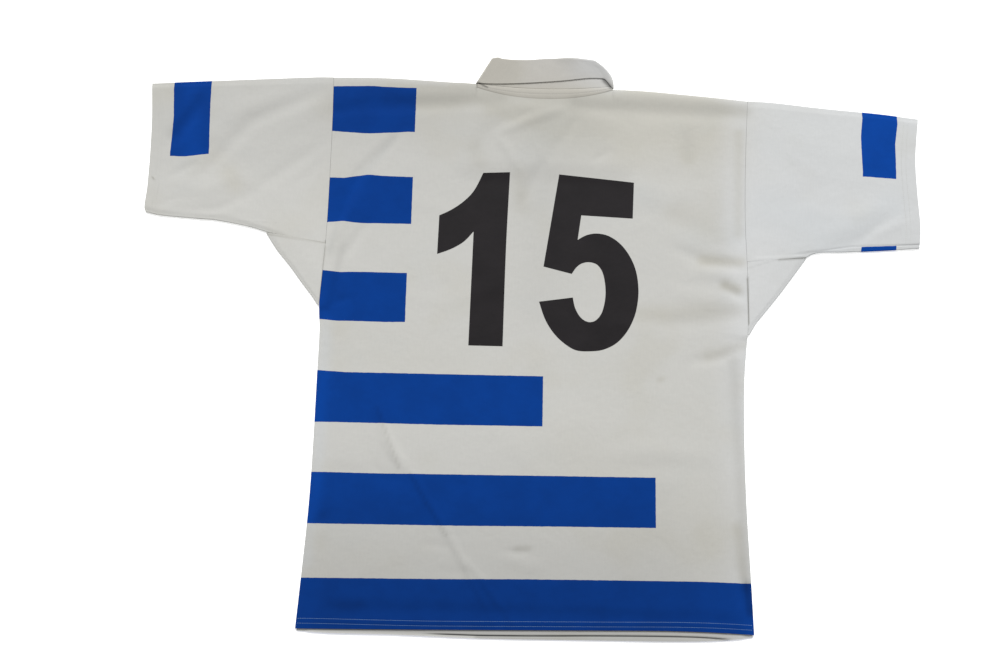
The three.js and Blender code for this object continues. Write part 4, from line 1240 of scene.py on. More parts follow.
def neck_stations():
    least = COLLAR_END_GAP / 2 / NECK_STRAIGHT
    half = np.maximum(HALF_SHARES, least)
    back = np.concatenate([-HALF_SHARES[:0:-1], HALF_SHARES])
    sine, cosine = np.sin(TURN_ANGLES), np.cos(TURN_ANGLES)

    def on_ply(share, facing):
        return np.stack([NECK_CENTRE + share * NECK_STRAIGHT, share,
                         np.full(len(share), facing), np.zeros(len(share))], 1)

    def turn(sign):
        return np.stack([NECK_CENTRE + sign * (NECK_STRAIGHT + STAND_HALF_GAP * sine),
                         np.full(len(sine), sign), -cosine, sign * sine], 1)

    stations = np.concatenate([on_ply(-half, -1.0), turn(-1.0), on_ply(back, 1.0),
                               turn(1.0)[::-1], on_ply(half, -1.0)[::-1]])
    return {name: stations[:, index] for index, name in enumerate(("x", "share", "facing", "aside"))}


def neck_lines(st):
    onward = (1 - st["facing"]) / 2
    foot = mix(back_neck_y(st["x"]), front_neck_y(st["x"]), onward)
    top = mix(back_band_top_y(st["x"]), front_band_top_y(st["x"]), onward)
    return foot, top, onward


def arc_uv(grid):
    """Lengths along and across a strip."""
    middle = grid[:, grid.shape[1] // 2]
    along = np.concatenate([[0], np.cumsum(np.linalg.norm(np.diff(middle, axis=0), axis=1))])
    steps = np.linalg.norm(np.diff(grid, axis=1), axis=2)
    across = np.concatenate([np.zeros((len(grid), 1)), np.cumsum(steps, axis=1)], 1)
    return np.stack([np.repeat(along[:, None], grid.shape[1], 1), across], -1)


BAND_STITCH_DIP = 0.3
BAND_STITCH_SHARE = 0.47
BAND_STITCH_WIDTH = 0.05
BAND_PUFF = 0.9
BAND_LINES = 19


def band_puff(share):
    return BAND_PUFF * np.sqrt(np.sin(math.pi * share))


def neck_band(materials):
    st = neck_stations()
    foot, top, _ = neck_lines(st)
    shares = np.linspace(0, 1, BAND_LINES)
    y = mix((foot + SEAM_GAP / 2)[:, None], (top - SEAM_GAP / 2)[:, None], shares)
    x = np.repeat(st["x"][:, None], len(shares), 1)
    level = NECK_LEVEL + STAND_HALF_GAP * st["facing"]
    dip = BAND_STITCH_DIP * bell(shares - BAND_STITCH_SHARE, BAND_STITCH_WIDTH)
    z = level[:, None] + (band_puff(shares) - dip) * np.maximum(st["facing"], 0)[:, None]
    grid = np.stack([x, y, z], -1)
    piece = wall_mesh("neck_band", grid, CLOTH_WALL, arc_uv(grid), materials=materials)
    return declare(piece, ("neck_band",))


def band_surface(x, y):
    """Outer face of the neck band where it lies over the back's neck."""
    foot, top = back_neck_y(x), back_band_top_y(x)
    share = np.clip((y - foot) / (top - foot), 0, 1)
    return NECK_LEVEL + STAND_HALF_GAP + CLOTH_WALL / 2 + band_puff(share) - BAND_STITCH_DIP


def collar_scale(share, height):
    rise = height / COLLAR_HEIGHT
    left = LEFT_TAPER * rise
    right = RIGHT_TAPER * np.maximum(rise, 0) ** RIGHT_TAPER_POWER
    return 1 - mix(left, right, smooth((share + 1) / 2))


COLLAR_ARC = np.radians(np.linspace(0, 180, 17))[None]
COLLAR_STAND_SHARES = np.linspace(0, 0.93, 14)[None]
COLLAR_FALL_SHARES = np.linspace(0.04, 1, 22)[None]
# Share along the back from which its fold bulges, up to where the bulge is full
BULGE_PLACE = (0.1, 0.7)
FRONT_FALL_GROWTH = 1.6


def collar(materials):
    """Stand and fall in one piece: up to the fold, over it and down to the free edge."""
    st = neck_stations()
    _, top, onward = neck_lines(st)
    seam_y = top + 1.5 * SEAM_GAP
    inward = 1 - np.abs(st["share"])
    fold_y, edge_y = COLLAR_FOLD_Y(st["share"]), COLLAR_EDGE_Y(st["share"])
    side_stand = COLLAR_FOLD_Y(np.where(st["share"] < 0, -1, 1)) - seam_y
    front_stand = mix(side_stand, FRONT_STAND_HEIGHT, np.sqrt(inward))
    stand = mix(fold_y - seam_y, front_stand, onward) - COLLAR_WALL / 2
    back_fall = fold_y - edge_y
    fall = mix(back_fall, FRONT_FALL_DEPTH, onward * smooth(FRONT_FALL_GROWTH * inward))
    bulge = ROLL_BULGE * ease(st["share"], *BULGE_PLACE) * np.maximum(0, st["facing"]) ** 2
    radius = COLLAR_FOLD_RADIUS + bulge
    rise, foot = stand - radius, stand - fall
    heights = np.concatenate([
        COLLAR_STAND_SHARES * rise[:, None],
        rise[:, None] + radius[:, None] * np.sin(COLLAR_ARC),
        mix(rise[:, None], foot[:, None], COLLAR_FALL_SHARES),
    ], 1)
    outs = np.concatenate([
        np.zeros((len(rise), COLLAR_STAND_SHARES.size)),
        radius[:, None] * (1 - np.cos(COLLAR_ARC)),
        mix(2 * radius[:, None], COLLAR_EDGE_REST, COLLAR_FALL_SHARES),
    ], 1)
    scale = collar_scale(st["share"][:, None], heights)
    x = NECK_CENTRE + (st["x"][:, None] - NECK_CENTRE + st["aside"][:, None] * outs) * scale
    y = seam_y[:, None] + heights
    z = (NECK_LEVEL + STAND_HALF_GAP * st["facing"])[:, None] + st["facing"][:, None] * outs
    grid = np.stack([x, y, z], -1)
    piece = wall_mesh("collar", grid, COLLAR_WALL, arc_uv(grid), materials=materials)
    return declare(piece, ("collar",))


# The number, a thin film on the back: points of each outline, a corner where the third column is 1

DIGIT_ONE = (
    (-70.3, 233.6, 1), (-32.4, 235.4, 1), (-35.9, 123, 0), (-37.8, -18.6, 1), (-84.8, -18.4, 1),
    (-81.8, 146.4, 1), (-95, 131.2, 0), (-112.1, 120.2, 0), (-131.8, 112.2, 1), (-130.6, 169, 1),
    (-113.9, 177.7, 0), (-96.6, 190.9, 0), (-82.5, 207.5, 0),
)
DIGIT_FIVE = (
    (37.3, 233.7, 1), (143.2, 224.2, 1), (141.4, 170.5, 1), (69, 173.6, 1), (64.1, 137, 1),
    (76.5, 144.2, 0), (91.5, 147, 0), (108.8, 143.2, 0), (125.3, 131, 0), (138, 113, 0), (146, 92, 0),
    (149, 67.5, 0), (147.6, 46, 0), (142.6, 25.4, 0), (132.4, 4.9, 0), (118.3, -10.9, 0), (100.9, -20.2, 0),
    (82.8, -23, 0), (62.6, -21.9, 0), (45.3, -11.5, 0), (31, 3, 0), (19.7, 22, 0), (11.4, 46.1, 1),
    (58, 53.1, 1), (61.1, 38.8, 0), (67.3, 26.9, 0), (74.5, 20.3, 0), (82.6, 18.2, 0), (90.7, 21.5, 0),
    (97.8, 31.1, 0), (102, 46, 0), (103.4, 61.9, 0), (101.9, 78.9, 0), (98.2, 92.3, 0), (91, 101.6, 0),
    (80.1, 104.8, 0), (69.5, 102.4, 0), (62.1, 96.2, 0), (56.3, 87.3, 1), (16.9, 97.1, 1),
)
# The number is drawn as the camera sees it, and the cloth lies above the floor
NUMBER_DROP = 1.6
FILM_CLEARANCE = 0.06
FILM_THICKNESS = 0.14
FILM_CELL = 4
OUTLINE_STEPS = 6


def smooth_outline(rows):
    """A closed outline that runs smoothly between its corners."""
    points = [np.array(row[:2], float) for row in rows]
    corners = [bool(row[2]) for row in rows]
    count = len(points)
    result = []
    for index in range(count):
        here, there = points[index], points[(index + 1) % count]
        before = here if corners[index] else points[index - 1]
        after = there if corners[(index + 1) % count] else points[(index + 2) % count]
        if corners[index] and corners[(index + 1) % count]:
            result.append(here)
            continue
        for t in np.arange(OUTLINE_STEPS) / OUTLINE_STEPS:
            result.append(0.5 * (2 * here + (there - before) * t
                                 + (2 * before - 5 * here + 4 * there - after) * t ** 2
                                 + (3 * here - before - 3 * there + after) * t ** 3))
    return np.array(result)


def film(name, outline, material):
    """A film in the outline's shape, laid on the back panel's outer face."""
    sheet = bmesh.new()
    corners = [sheet.verts.new((x, y, 0)) for x, y in outline]
    sheet.faces.new(corners)
    low, high = outline.min(0), outline.max(0)
    for axis, normal in enumerate((Vector((1, 0, 0)), Vector((0, 1, 0)))):
        for place in np.arange(low[axis] + FILM_CELL, high[axis], FILM_CELL):
            geometry = sheet.verts[:] + sheet.edges[:] + sheet.faces[:]
            bmesh.ops.bisect_plane(sheet, geom=geometry, plane_co=normal * float(place), plane_no=normal)
    bmesh.ops.triangulate(sheet, faces=sheet.faces[:])
    sheet.verts.ensure_lookup_table()
    flat = np.array([vert.co[:2] for vert in sheet.verts])
    faces = np.array([[vert.index for vert in face.verts] for face in sheet.faces])
    rim = np.array([[loop.vert.index, loop.link_loop_next.vert.index]
                    for edge in sheet.edges if len(edge.link_faces) == 1 for loop in edge.link_loops])
    sheet.free()
    x, y = flat[:, 0], flat[:, 1]
    level = upper_level(x, y, FAR) + CLOTH_WALL / 2 + FILM_CLEARANCE
    count = len(flat)
    points = np.concatenate([np.column_stack([flat, level + above]) for above in (FILM_THICKNESS, 0)])
    a, b = rim[:, 0], rim[:, 1]
    triangles = np.concatenate([
        faces, faces[:, ::-1] + count,
        np.stack([b, a, a + count], 1), np.stack([b, a + count, b + count], 1),
    ])
    return declare(one_finish(name, points, triangles, material))


# Stitching

STITCH_RADIUS = 0.24
STITCH_LENGTH = 2.5
STITCH_PITCH = 3.1
# Rings of a stitch: place along it, width and height of its middle, the first in lengths, the others in radii
STITCH_RINGS = np.array([
    [-0.5, 0.15, -0.9],
    [-0.38, 0.85, -0.2],
    [0, 1, 0.35],
    [0.38, 0.85, -0.2],
    [0.5, 0.15, -0.9],
])
STITCH_SIDES = 6
# Two quads close the first ring, and the same ones turned round the last
STITCH_END = np.array([[5, 4, 1, 0], [4, 3, 2, 1]])


def stitch_faces():
    """Quads of one stitch, over its rings of points."""
    last = (len(STITCH_RINGS) - 1) * STITCH_SIDES
    here = np.arange(STITCH_SIDES)
    after = (here + 1) % STITCH_SIDES
    band = np.stack([here, after, after + STITCH_SIDES, here + STITCH_SIDES], 1)
    bands = [band + ring for ring in range(0, last, STITCH_SIDES)]
    return np.concatenate([*bands, STITCH_END, STITCH_END[:, ::-1] + last])


def row_points(line, level):
    """Stitches along a line of x and y, mm, with the height of the cloth below them."""
    line = np.asarray(line, float)
    steps = np.concatenate([[0], np.cumsum(np.hypot(*np.diff(line, axis=0).T))])
    places = np.arange(STITCH_PITCH, steps[-1] - STITCH_PITCH, STITCH_PITCH)

    def at(distance):
        return np.stack([np.interp(distance, steps, line[:, axis]) for axis in (0, 1)], 1)

    return at(places), unit(at(places + 0.5) - at(places)), level


def stitches(name, rows, material):
    angles = np.linspace(0, 2 * math.pi, STITCH_SIDES, endpoint=False)
    along, width, lift = (STITCH_RINGS[:, part][:, None] for part in range(3))
    along = along * STITCH_LENGTH
    wide = width * STITCH_RADIUS * np.cos(angles)
    tall = width * STITCH_RADIUS * np.sin(angles) + lift * STITCH_RADIUS
    points = []
    for middle, heading, level in rows:
        for (x, y), (dx, dy) in zip(middle, heading):
            px = x + along * dx - wide * dy
            py = y + along * dy + wide * dx
            points.append(np.stack([px, py, level(px, py) + tall], -1).reshape(-1, 3))
    quads = stitch_faces()
    faces = np.concatenate([quads + index * tall.size for index in range(len(points))])
    points = np.concatenate(points)
    if signed_volume(points, faces) < 0:
        faces = faces[:, ::-1]
    return declare(one_finish(name, points, faces, material))


# The body's sides, below which a stitch's row comes near to a folded edge
BODY_REACH = 306
BODY_SIDE_TOP = 20


def upper_surface(x, y):
    edge = np.minimum(np.abs(x - SIDE_X["left"](y)), np.abs(SIDE_X["right"](y) - x))
    inside = (np.abs(x) < BODY_REACH) & (y < BODY_SIDE_TOP)
    return upper_level(x, y, np.where(inside, edge, FAR)) + CLOTH_WALL / 2


# Materials


def node_tree(material):
    material.use_nodes = True
    tree = material.node_tree
    tree.nodes.clear()
    return tree


class Wiring:
    """Adds nodes to a tree and links them."""

    def __init__(self, tree):
        self.tree = tree

    def node(self, kind, settings=None, **inputs):
        made = self.tree.nodes.new(kind)
        for name, value in (settings or {}).items():
            setattr(made, name, value)
        for name, value in inputs.items():
            numbered = name[0] == "i" and name[1:].isdigit()
            self.put(made.inputs[int(name[1:]) if numbered else name.replace("_", " ")], value)
        return made

    def put(self, socket, value):
        if isinstance(value, bpy.types.NodeSocket):
            self.tree.links.new(value, socket)
        else:
            socket.default_value = value

    def math(self, operation, a, b=0.0, clamp=False):
        settings = {"operation": operation, "use_clamp": clamp}
        return self.node("ShaderNodeMath", settings, i0=a, i1=b).outputs[0]

    def ramp(self, value, low, high, to_low=0.0, to_high=1.0):
        made = self.node("ShaderNodeMapRange", {"interpolation_type": "SMOOTHSTEP"},
                         i0=value, i1=low, i2=high, i3=to_low, i4=to_high)
        return made.outputs[0]

    def product(self, *values):
        result = values[0]
        for value in values[1:]:
            result = self.math("MULTIPLY", result, value)
        return result

    def noise(self, place, scale, detail, **more):
        return self.node("ShaderNodeTexNoise", Vector=place, Scale=scale, Detail=detail, **more).outputs[0]

    def vector(self, operation, **inputs):
        return self.node("ShaderNodeVectorMath", {"operation": operation}, **inputs).outputs[0]

    def attribute(self, name):
        return self.node("ShaderNodeAttribute", {"attribute_name": name}).outputs["Fac"]

    def cloth_place(self):
        return self.node("ShaderNodeUVMap", {"uv_map": "cloth"}).outputs[0]

    def shade(self, colour, value):
        return self.node("ShaderNodeHueSaturation", Value=value, Color=colour).outputs[0]

    def surface(self, base, roughness, **values):
        """The material's surface and output. Further values are set on sockets of the same names."""
        shader = self.node("ShaderNodeBsdfPrincipled", Base_Color=base, Roughness=roughness, **values)
        self.put(self.node("ShaderNodeOutputMaterial").inputs[0], shader.outputs[0])

    def bump(self, height, strength):
        return self.node("ShaderNodeBump", Height=height, Distance=1.0, Strength=strength).outputs[0]

    def blend(self, share, a, b, kind="MIX"):
        made = self.node("ShaderNodeMix", {"data_type": "RGBA", "blend_type": kind})
        self.put(made.inputs[0], share)
        self.put(made.inputs[6], a)
        self.put(made.inputs[7], b)
        return made.outputs[2]


def group(name, inputs, outputs):
    tree = bpy.data.node_groups.new(name, "ShaderNodeTree")
    for label, kind, default in inputs:
        socket = tree.interface.new_socket(label, in_out="INPUT", socket_type=kind)
        if default is not None:
            socket.default_value = default
    for label, kind in outputs:
        tree.interface.new_socket(label, in_out="OUTPUT", socket_type=kind)
    given, gives = tree.nodes.new("NodeGroupInput").outputs, tree.nodes.new("NodeGroupOutput").inputs
    return tree, Wiring(tree), given, gives


FLOAT, COLOUR, VECTOR = "NodeSocketFloat", "NodeSocketColor", "NodeSocketVector"


def knit_group():
    """Columns of knitted loops in the cloth's own lengths."""
    tree, w, given, gives = group("Knit", (
        ("Place", VECTOR, None), ("Column", FLOAT, 0.0011), ("Row", FLOAT, 0.0009)), (
        ("Height", FLOAT), ("Shade", FLOAT)))
    parts = w.node("ShaderNodeSeparateXYZ", Vector=given["Place"])
    column = w.math("DIVIDE", parts.outputs[0], given["Column"])
    row = w.math("DIVIDE", parts.outputs[1], given["Row"])
    aside = w.math("ABSOLUTE", w.math("SUBTRACT", w.math("FRACT", column), 0.5))
    slant = w.math("ADD", row, w.math("MULTIPLY", aside, 0.9))
    loop = w.math("SINE", w.math("MULTIPLY", slant, 2 * math.pi))
    rib = w.math("SUBTRACT", 1.0, w.product(aside, aside, 3.4))
    height = w.math("MULTIPLY", rib, w.math("ADD", 0.72, w.math("MULTIPLY", loop, 0.28)))
    w.put(gives["Height"], height)
    stretched = w.vector("MULTIPLY", i0=given["Place"], i1=(420.0, 60.0, 1.0))
    w.put(gives["Shade"], w.noise(stretched, 1.0, 2.0, Roughness=0.6))
    return tree


def rumple_group():
    """Soft unevenness that cloth keeps after it has been smoothed by hand."""
    tree, w, given, gives = group("Rumple", (
        ("Place", VECTOR, None), ("Scale", FLOAT, 18.0)), (("Height", FLOAT),))
    broad = w.noise(given["Place"], given["Scale"], 2.5, Roughness=0.55, Distortion=0.6)
    fine = w.noise(given["Place"], w.product(given["Scale"], 6.0), 2.0)
    w.put(gives["Height"], w.math("ADD", w.product(broad, 0.75), w.product(fine, 0.25)))
    return tree


def soil_group():
    """Beige, cool and dark patches over a cloth's own colour: stains, tints and painted shade."""
    tree, w, given, gives = group("Soil", (
        ("Colour", COLOUR, (1, 1, 1, 1)), ("Place", VECTOR, None), ("Mottle", FLOAT, 0.5),
        ("Beige colour", COLOUR, (1, 1, 1, 1)), ("Cool colour", COLOUR, (1, 1, 1, 1))), (("Colour", COLOUR),))
    beige, cool, dark = (w.attribute("soil_" + kind) for kind in ("beige", "cool", "dark"))
    patches = w.noise(given["Place"], 9.0, 2.0)
    other = w.noise(w.vector("ADD", i0=given["Place"], i1=(3.7, 1.9, 0.0)), 12.0, 2.0)
    warm = w.product(w.ramp(patches, 0.5, 0.72), given["Mottle"])
    blue = w.product(w.ramp(other, 0.52, 0.74), given["Mottle"])
    share = w.math("ADD", beige, warm, clamp=True)
    first = w.blend(share, given["Colour"], w.blend(1.0, given["Colour"], given["Beige colour"], "MULTIPLY"))
    second = w.blend(w.math("ADD", cool, blue, clamp=True), first,
                     w.blend(1.0, first, given["Cool colour"], "MULTIPLY"))
    w.put(gives["Colour"], w.shade(second, w.math("SUBTRACT", 1.0, dark)))
    return tree


# How far a bar's edges waver, and how softly they end, m
BAR_WAVER = 0.0008
BAR_SOFTNESS = 0.0003


def hoop_group():
    """A printed bar: 1 inside its four edges, which waver a little with the knit."""
    tree, w, given, gives = group("Printed bar", (
        ("Place", VECTOR, None), ("From", FLOAT, -1.0), ("To", FLOAT, 1.0),
        ("Low", FLOAT, -1.0), ("High", FLOAT, 1.0)), (("Mask", FLOAT),))
    waver = w.node("ShaderNodeTexNoise", Vector=given["Place"], Scale=160.0, Detail=2.0).outputs["Color"]
    moved = w.vector("MULTIPLY_ADD", i0=waver, i1=(BAR_WAVER, BAR_WAVER, 0.0), i2=given["Place"])
    centred = w.vector("SUBTRACT", i0=moved, i1=(BAR_WAVER / 2, BAR_WAVER / 2, 0.0))
    parts = w.node("ShaderNodeSeparateXYZ", Vector=centred)
    limits = []
    for part, low, high in ((parts.outputs[0], "From", "To"), (parts.outputs[1], "Low", "High")):
        for distance in (w.math("SUBTRACT", part, given[low]), w.math("SUBTRACT", given[high], part)):
            limits.append(w.math("DIVIDE", distance, BAR_SOFTNESS, clamp=True))
    w.put(gives["Mask"], w.product(*limits))
    return tree


GROUPS = {}


def groups():
    if not GROUPS:
        GROUPS.update(knit=knit_group(), rumple=rumple_group(), soil=soil_group(), bar=hoop_group())
    return GROUPS


def use_group(w, name, **inputs):
    made = w.node("ShaderNodeGroup", {"node_tree": groups()[name]})
    for label, value in inputs.items():
        w.put(made.inputs[label.replace("_", " ")], value)
    return made


# Column and row of the knit, m
JERSEY_KNIT = (0.0011, 0.0009)
COLLAR_KNIT = (0.0016, 0.0012)
MOTTLE = 0.25
# The ink darkens less with the dark attribute, stains and painted shade alike, and lightens with the cool tint
INK_DARK = 1.1
INK_COOL = 0.4


def relief_of(w, loops, loop_height, rumple, rumple_height):
    knitted = w.product(loops.outputs["Height"], loop_height)
    return w.math("ADD", knitted, w.product(rumple.outputs["Height"], rumple_height))


def cloth_material(name, colour, colours, bars=(), knit=JERSEY_KNIT):
    """Knitted cloth with its stains, tints and painted shade and, where it has any, its printed bars."""
    material = bpy.data.materials.new(name)
    w = Wiring(node_tree(material))
    place = w.cloth_place()
    loops = use_group(w, "knit", Place=place, Column=knit[0], Row=knit[1])
    rumple = use_group(w, "rumple", Place=place, Scale=20.0)
    white = w.shade((*colour, 1.0), w.ramp(loops.outputs["Shade"], 0.3, 0.7, 0.99, 1.008))
    stained_and_shaded = use_group(w, "soil", Colour=white, Place=place, Mottle=MOTTLE,
                       Beige_colour=(*colours.beige_soil, 1.0), Cool_colour=(*colours.cool_soil, 1.0))
    base = stained_and_shaded.outputs["Colour"]
    if bars:
        masks = []
        for start, end, low, high in bars:
            bar = use_group(w, "bar", Place=place, From=start * MM, To=end * MM, Low=low * MM, High=high * MM)
            masks.append(bar.outputs["Mask"])
        mask = masks[0]
        for other in masks[1:]:
            mask = w.math("MAXIMUM", mask, other)
        tone = w.ramp(w.noise(place, 26.0, 4.0, Roughness=0.6), 0.3, 0.72, 1.05, 0.94)
        dark = w.math("SUBTRACT", 1.0, w.product(w.attribute("soil_dark"), INK_DARK))
        cool = w.math("ADD", 1.0, w.product(w.attribute("soil_cool"), INK_COOL))
        base = w.blend(mask, base, w.shade((*colours.bar_ink, 1.0), w.product(tone, dark, cool)))
    height = relief_of(w, loops, 0.00012, rumple, 0.0012)
    w.surface(base, 0.88, Normal=w.bump(height, 0.85), Sheen_Weight=0.03, Sheen_Roughness=0.6,
              Specular_IOR_Level=0.06)
    return material


def film_material(colour):
    material = bpy.data.materials.new("number film")
    w = Wiring(node_tree(material))
    place = w.cloth_place()
    loops = use_group(w, "knit", Place=place, Column=JERSEY_KNIT[0], Row=JERSEY_KNIT[1])
    rumple = use_group(w, "rumple", Place=place, Scale=24.0)
    base = w.shade((*colour, 1.0), w.ramp(w.noise(place, 24.0, 3.0), 0.3, 0.7, 0.85, 1.15))
    height = relief_of(w, loops, 0.00005, rumple, 0.0007)
    w.surface(base, 0.62, Normal=w.bump(height, 0.8), Specular_IOR_Level=0.16)
    return material


def thread_material(name, colour):
    material = bpy.data.materials.new(name)
    w = Wiring(node_tree(material))
    twist = w.node("ShaderNodeTexWave", {"wave_type": "BANDS", "bands_direction": "DIAGONAL"},
                   Vector=w.cloth_place(), Scale=900.0, Distortion=0.4).outputs["Fac"]
    base = w.shade((*colour, 1.0), w.ramp(twist, 0.0, 1.0, 0.85, 1.08))
    w.surface(base, 0.6, Normal=w.bump(w.product(twist, 0.00008), 0.7))
    return material


# Places past the cloth's ends, up to which a bar runs, mm
BAR_START = -340
BAR_REACH = 700
MATERIALS = {}


def shirt_materials(settings):
    """The shirt's finishes, made once."""
    if MATERIALS:
        return MATERIALS
    colours = settings.colours
    cloth = tuple(colours.jersey)
    hoops = [(BAR_START, end, low, high) for end, low, high in zip(HOOPS["end"], HOOPS["low"], HOOPS["high"])]
    MATERIALS["body"] = cloth_material("printed jersey", cloth, colours, hoops)
    for side, prints in SLEEVE_PRINT.items():
        start, end = prints["band"]
        under, over = (flat for flat, _ in prints["edges"][:2])
        bars = [(start, end, over, BAR_REACH), (start, end, -BAR_REACH, under)]
        MATERIALS["sleeve_" + side] = cloth_material("sleeve jersey " + side, cloth, colours, bars)
    MATERIALS["plain"] = cloth_material("plain jersey", cloth, colours)
    MATERIALS["collar"] = cloth_material("collar rib", tuple(colours.collar), colours, knit=COLLAR_KNIT)
    MATERIALS["film"] = film_material(tuple(colours.number_film))
    for kind in ("hem", "white", "collar"):
        colour = tuple(getattr(colours, kind + "_thread"))
        MATERIALS[kind + "_thread"] = thread_material(kind + " thread", colour)
    return MATERIALS


# Settings that a user would change


def colour_setting(name, description, default):
    return bpy.props.FloatVectorProperty(name=name, description=description, subtype="COLOR", size=3,
                                         min=0.0, max=1.0, default=default)


class ShirtColours(bpy.types.PropertyGroup):
    """Colours of the cloth, the print, the thread and the stage."""

    jersey: colour_setting("Jersey", "White of the knitted cloth", (0.625, 0.63, 0.625))
    collar: colour_setting("Collar", "Collar and neck band", (0.605, 0.598, 0.585))
    bar_ink: colour_setting("Bars", "Blue of the printed bars", (0.0010, 0.0435, 0.260))
    number_film: colour_setting("Number", "Film of the number", (0.0105, 0.0085, 0.0098))
    beige_soil: colour_setting("Beige soil", "Tint of the worn patches", (0.90, 0.875, 0.80))
    cool_soil: colour_setting("Cool tint", "Tint of the cool patches", (0.96, 0.98, 1.0))
    hem_thread: colour_setting("Hem thread", "Thread of the hem's two rows", (0.20, 0.33, 0.52))
    white_thread: colour_setting("White thread", "Thread of the cuffs", (0.56, 0.56, 0.53))
    collar_thread: colour_setting("Collar thread", "Thread along the neck band", (0.43, 0.42, 0.40))
    floor: colour_setting("Floor", "Pale floor under the shirt", (1.0, 1.0, 1.0))


class ShirtSizes(bpy.types.PropertyGroup):
    """How finely the cloth is laid out and how it is lit."""

    body_cell: bpy.props.FloatProperty(
        name="Body cell", description="Distance between the back panel's points", default=0.004,
        min=0.002, max=0.02, unit="LENGTH")
    front_cell: bpy.props.FloatProperty(
        name="Front cell", description="Distance between the front panel's points", default=0.006,
        min=0.002, max=0.02, unit="LENGTH")
    lens: bpy.props.FloatProperty(
        name="Lens", description="Focal length of the camera, mm", default=50.0, min=10.0, max=200.0)
    floor_width: bpy.props.FloatProperty(
        name="Floor width", description="Side of the square floor", default=60.0,
        min=1.0, max=200.0, unit="LENGTH")
    key_strength: bpy.props.FloatProperty(
        name="Key light", description="Strength of the soft light from beyond the collar", default=2.9,
        min=0.0)
    key_spread: bpy.props.FloatProperty(
        name="Key spread", description="Angle that the key light fills, as a soft box",
        default=math.radians(34), min=0.0, max=math.pi, subtype="ANGLE")
    sky: bpy.props.FloatProperty(
        name="Sky", description="Strength of the even light all round", default=0.42, min=0.0, max=10.0)
    floor_glow: bpy.props.FloatProperty(
        name="Floor glow", description="Light that the over-exposed floor gives of itself", default=0.4,
        min=0.0, max=10.0)


class ShirtSettings(bpy.types.PropertyGroup):
    """All of the shirt's settings."""

    colours: bpy.props.PointerProperty(type=ShirtColours)
    sizes: bpy.props.PointerProperty(type=ShirtSizes)


# Operators


class ShirtStep(bpy.types.Operator):
    """Builds a part of the shirt from its settings."""

    bl_options = {"REGISTER", "UNDO"}

    def execute(self, context):
        settings = context.scene.shirt
        self.build(settings, shirt_materials(settings))
        return {"FINISHED"}


class SHIRT_OT_body(ShirtStep):
    """Back and front panels and the placket, each cut and turned at its own edges"""

    bl_idname = "shirt.body"
    bl_label = "Body panels"

    def build(self, settings, finishes):
        body_panel("back", settings.sizes.body_cell / MM, (finishes["body"], finishes["plain"]), 1)
        body_panel("front", settings.sizes.front_cell / MM, (finishes["body"], finishes["plain"]), -1)
        placket((finishes["plain"], finishes["plain"]))


class SHIRT_OT_sleeves(ShirtStep):
    """Both sleeves, flattened tubes with the printed band right round"""

    bl_idname = "shirt.sleeves"
    bl_label = "Sleeves"

    def build(self, settings, finishes):
        for side in ("left", "right"):
            sleeve(side, (finishes["sleeve_" + side], finishes["plain"]))


class SHIRT_OT_gussets(ShirtStep):
    """Underarm gussets, triangles of cloth folded under"""

    bl_idname = "shirt.gussets"
    bl_label = "Gussets"

    def build(self, settings, finishes):
        for side in ("left", "right"):
            gusset(side, (finishes["plain"], finishes["plain"]))


class SHIRT_OT_collar(ShirtStep):
    """Neck band, collar stand and fall round the flattened neck"""

    bl_idname = "shirt.collar"
    bl_label = "Neck band and collar"

    def build(self, settings, finishes):
        neck_band((finishes["collar"], finishes["collar"]))
        collar((finishes["collar"], finishes["collar"]))


class SHIRT_OT_number(ShirtStep):
    """The plain number on the back, a thin film that follows the cloth"""

    bl_idname = "shirt.number"
    bl_label = "Number"

    def build(self, settings, finishes):
        drop = np.array([0, NUMBER_DROP])
        film("number_one", smooth_outline(DIGIT_ONE) - drop, finishes["film"])
        film("number_five", smooth_outline(DIGIT_FIVE) - drop, finishes["film"])


HEM_STITCH_ENDS = (-300.3, 298.5)
CUFF_STITCH_END = 5
NECK_STITCH_SHARE = 0.97


class SHIRT_OT_stitching(ShirtStep):
    """Rows of stitches along the hem, the cuffs and the neck"""

    bl_idname = "shirt.stitching"
    bl_label = "Stitching"

    def build(self, settings, finishes):
        x = np.linspace(*HEM_STITCH_ENDS, 120)
        hem_y = HEM_Y["back"](x) + hem_row_rise(x)
        hem = [row_points(pair(x, hem_y + inside), upper_surface) for inside in HEM_ROWS]
        stitches("hem_stitches", hem, finishes["hem_thread"])
        for side, sign in (("left", 1), ("right", -1)):
            cuff = SLEEVES[side]["cuff"]
            low, high = cuff["y"][0], cuff["y"][-1]
            y = np.linspace(low + CUFF_STITCH_END, high - CUFF_STITCH_END, 60)
            cuff_x = curve(cuff, "y", "x")(y)

            def surface(px, py, side=side, low=low, high=high):
                edge = np.minimum(py - low, high - py) - FOLD_REST
                return upper_level(px, py, edge) + cuff_relief(side, px, py, edge) + CLOTH_WALL / 2

            rows = [row_points(pair(cuff_x + sign * inside, y), surface) for inside in CUFF_ROWS[side]]
            stitches("cuff_stitches_" + side, rows, finishes["white_thread"])
        x = NECK_CENTRE + np.linspace(-NECK_STITCH_SHARE, NECK_STITCH_SHARE, 80) * NECK_STRAIGHT
        y = mix(back_neck_y(x), back_band_top_y(x), BAND_STITCH_SHARE)
        stitches("neck_stitches", [row_points(pair(x, y), band_surface)], finishes["collar_thread"])


# The camera's place, m, its tilt from straight down and its turn about the line of sight
CAMERA_PLACE = (-0.04165, -0.4815, 1.8540)
CAMERA_TILT = math.radians(14.5)
CAMERA_ROLL = math.radians(1.25)


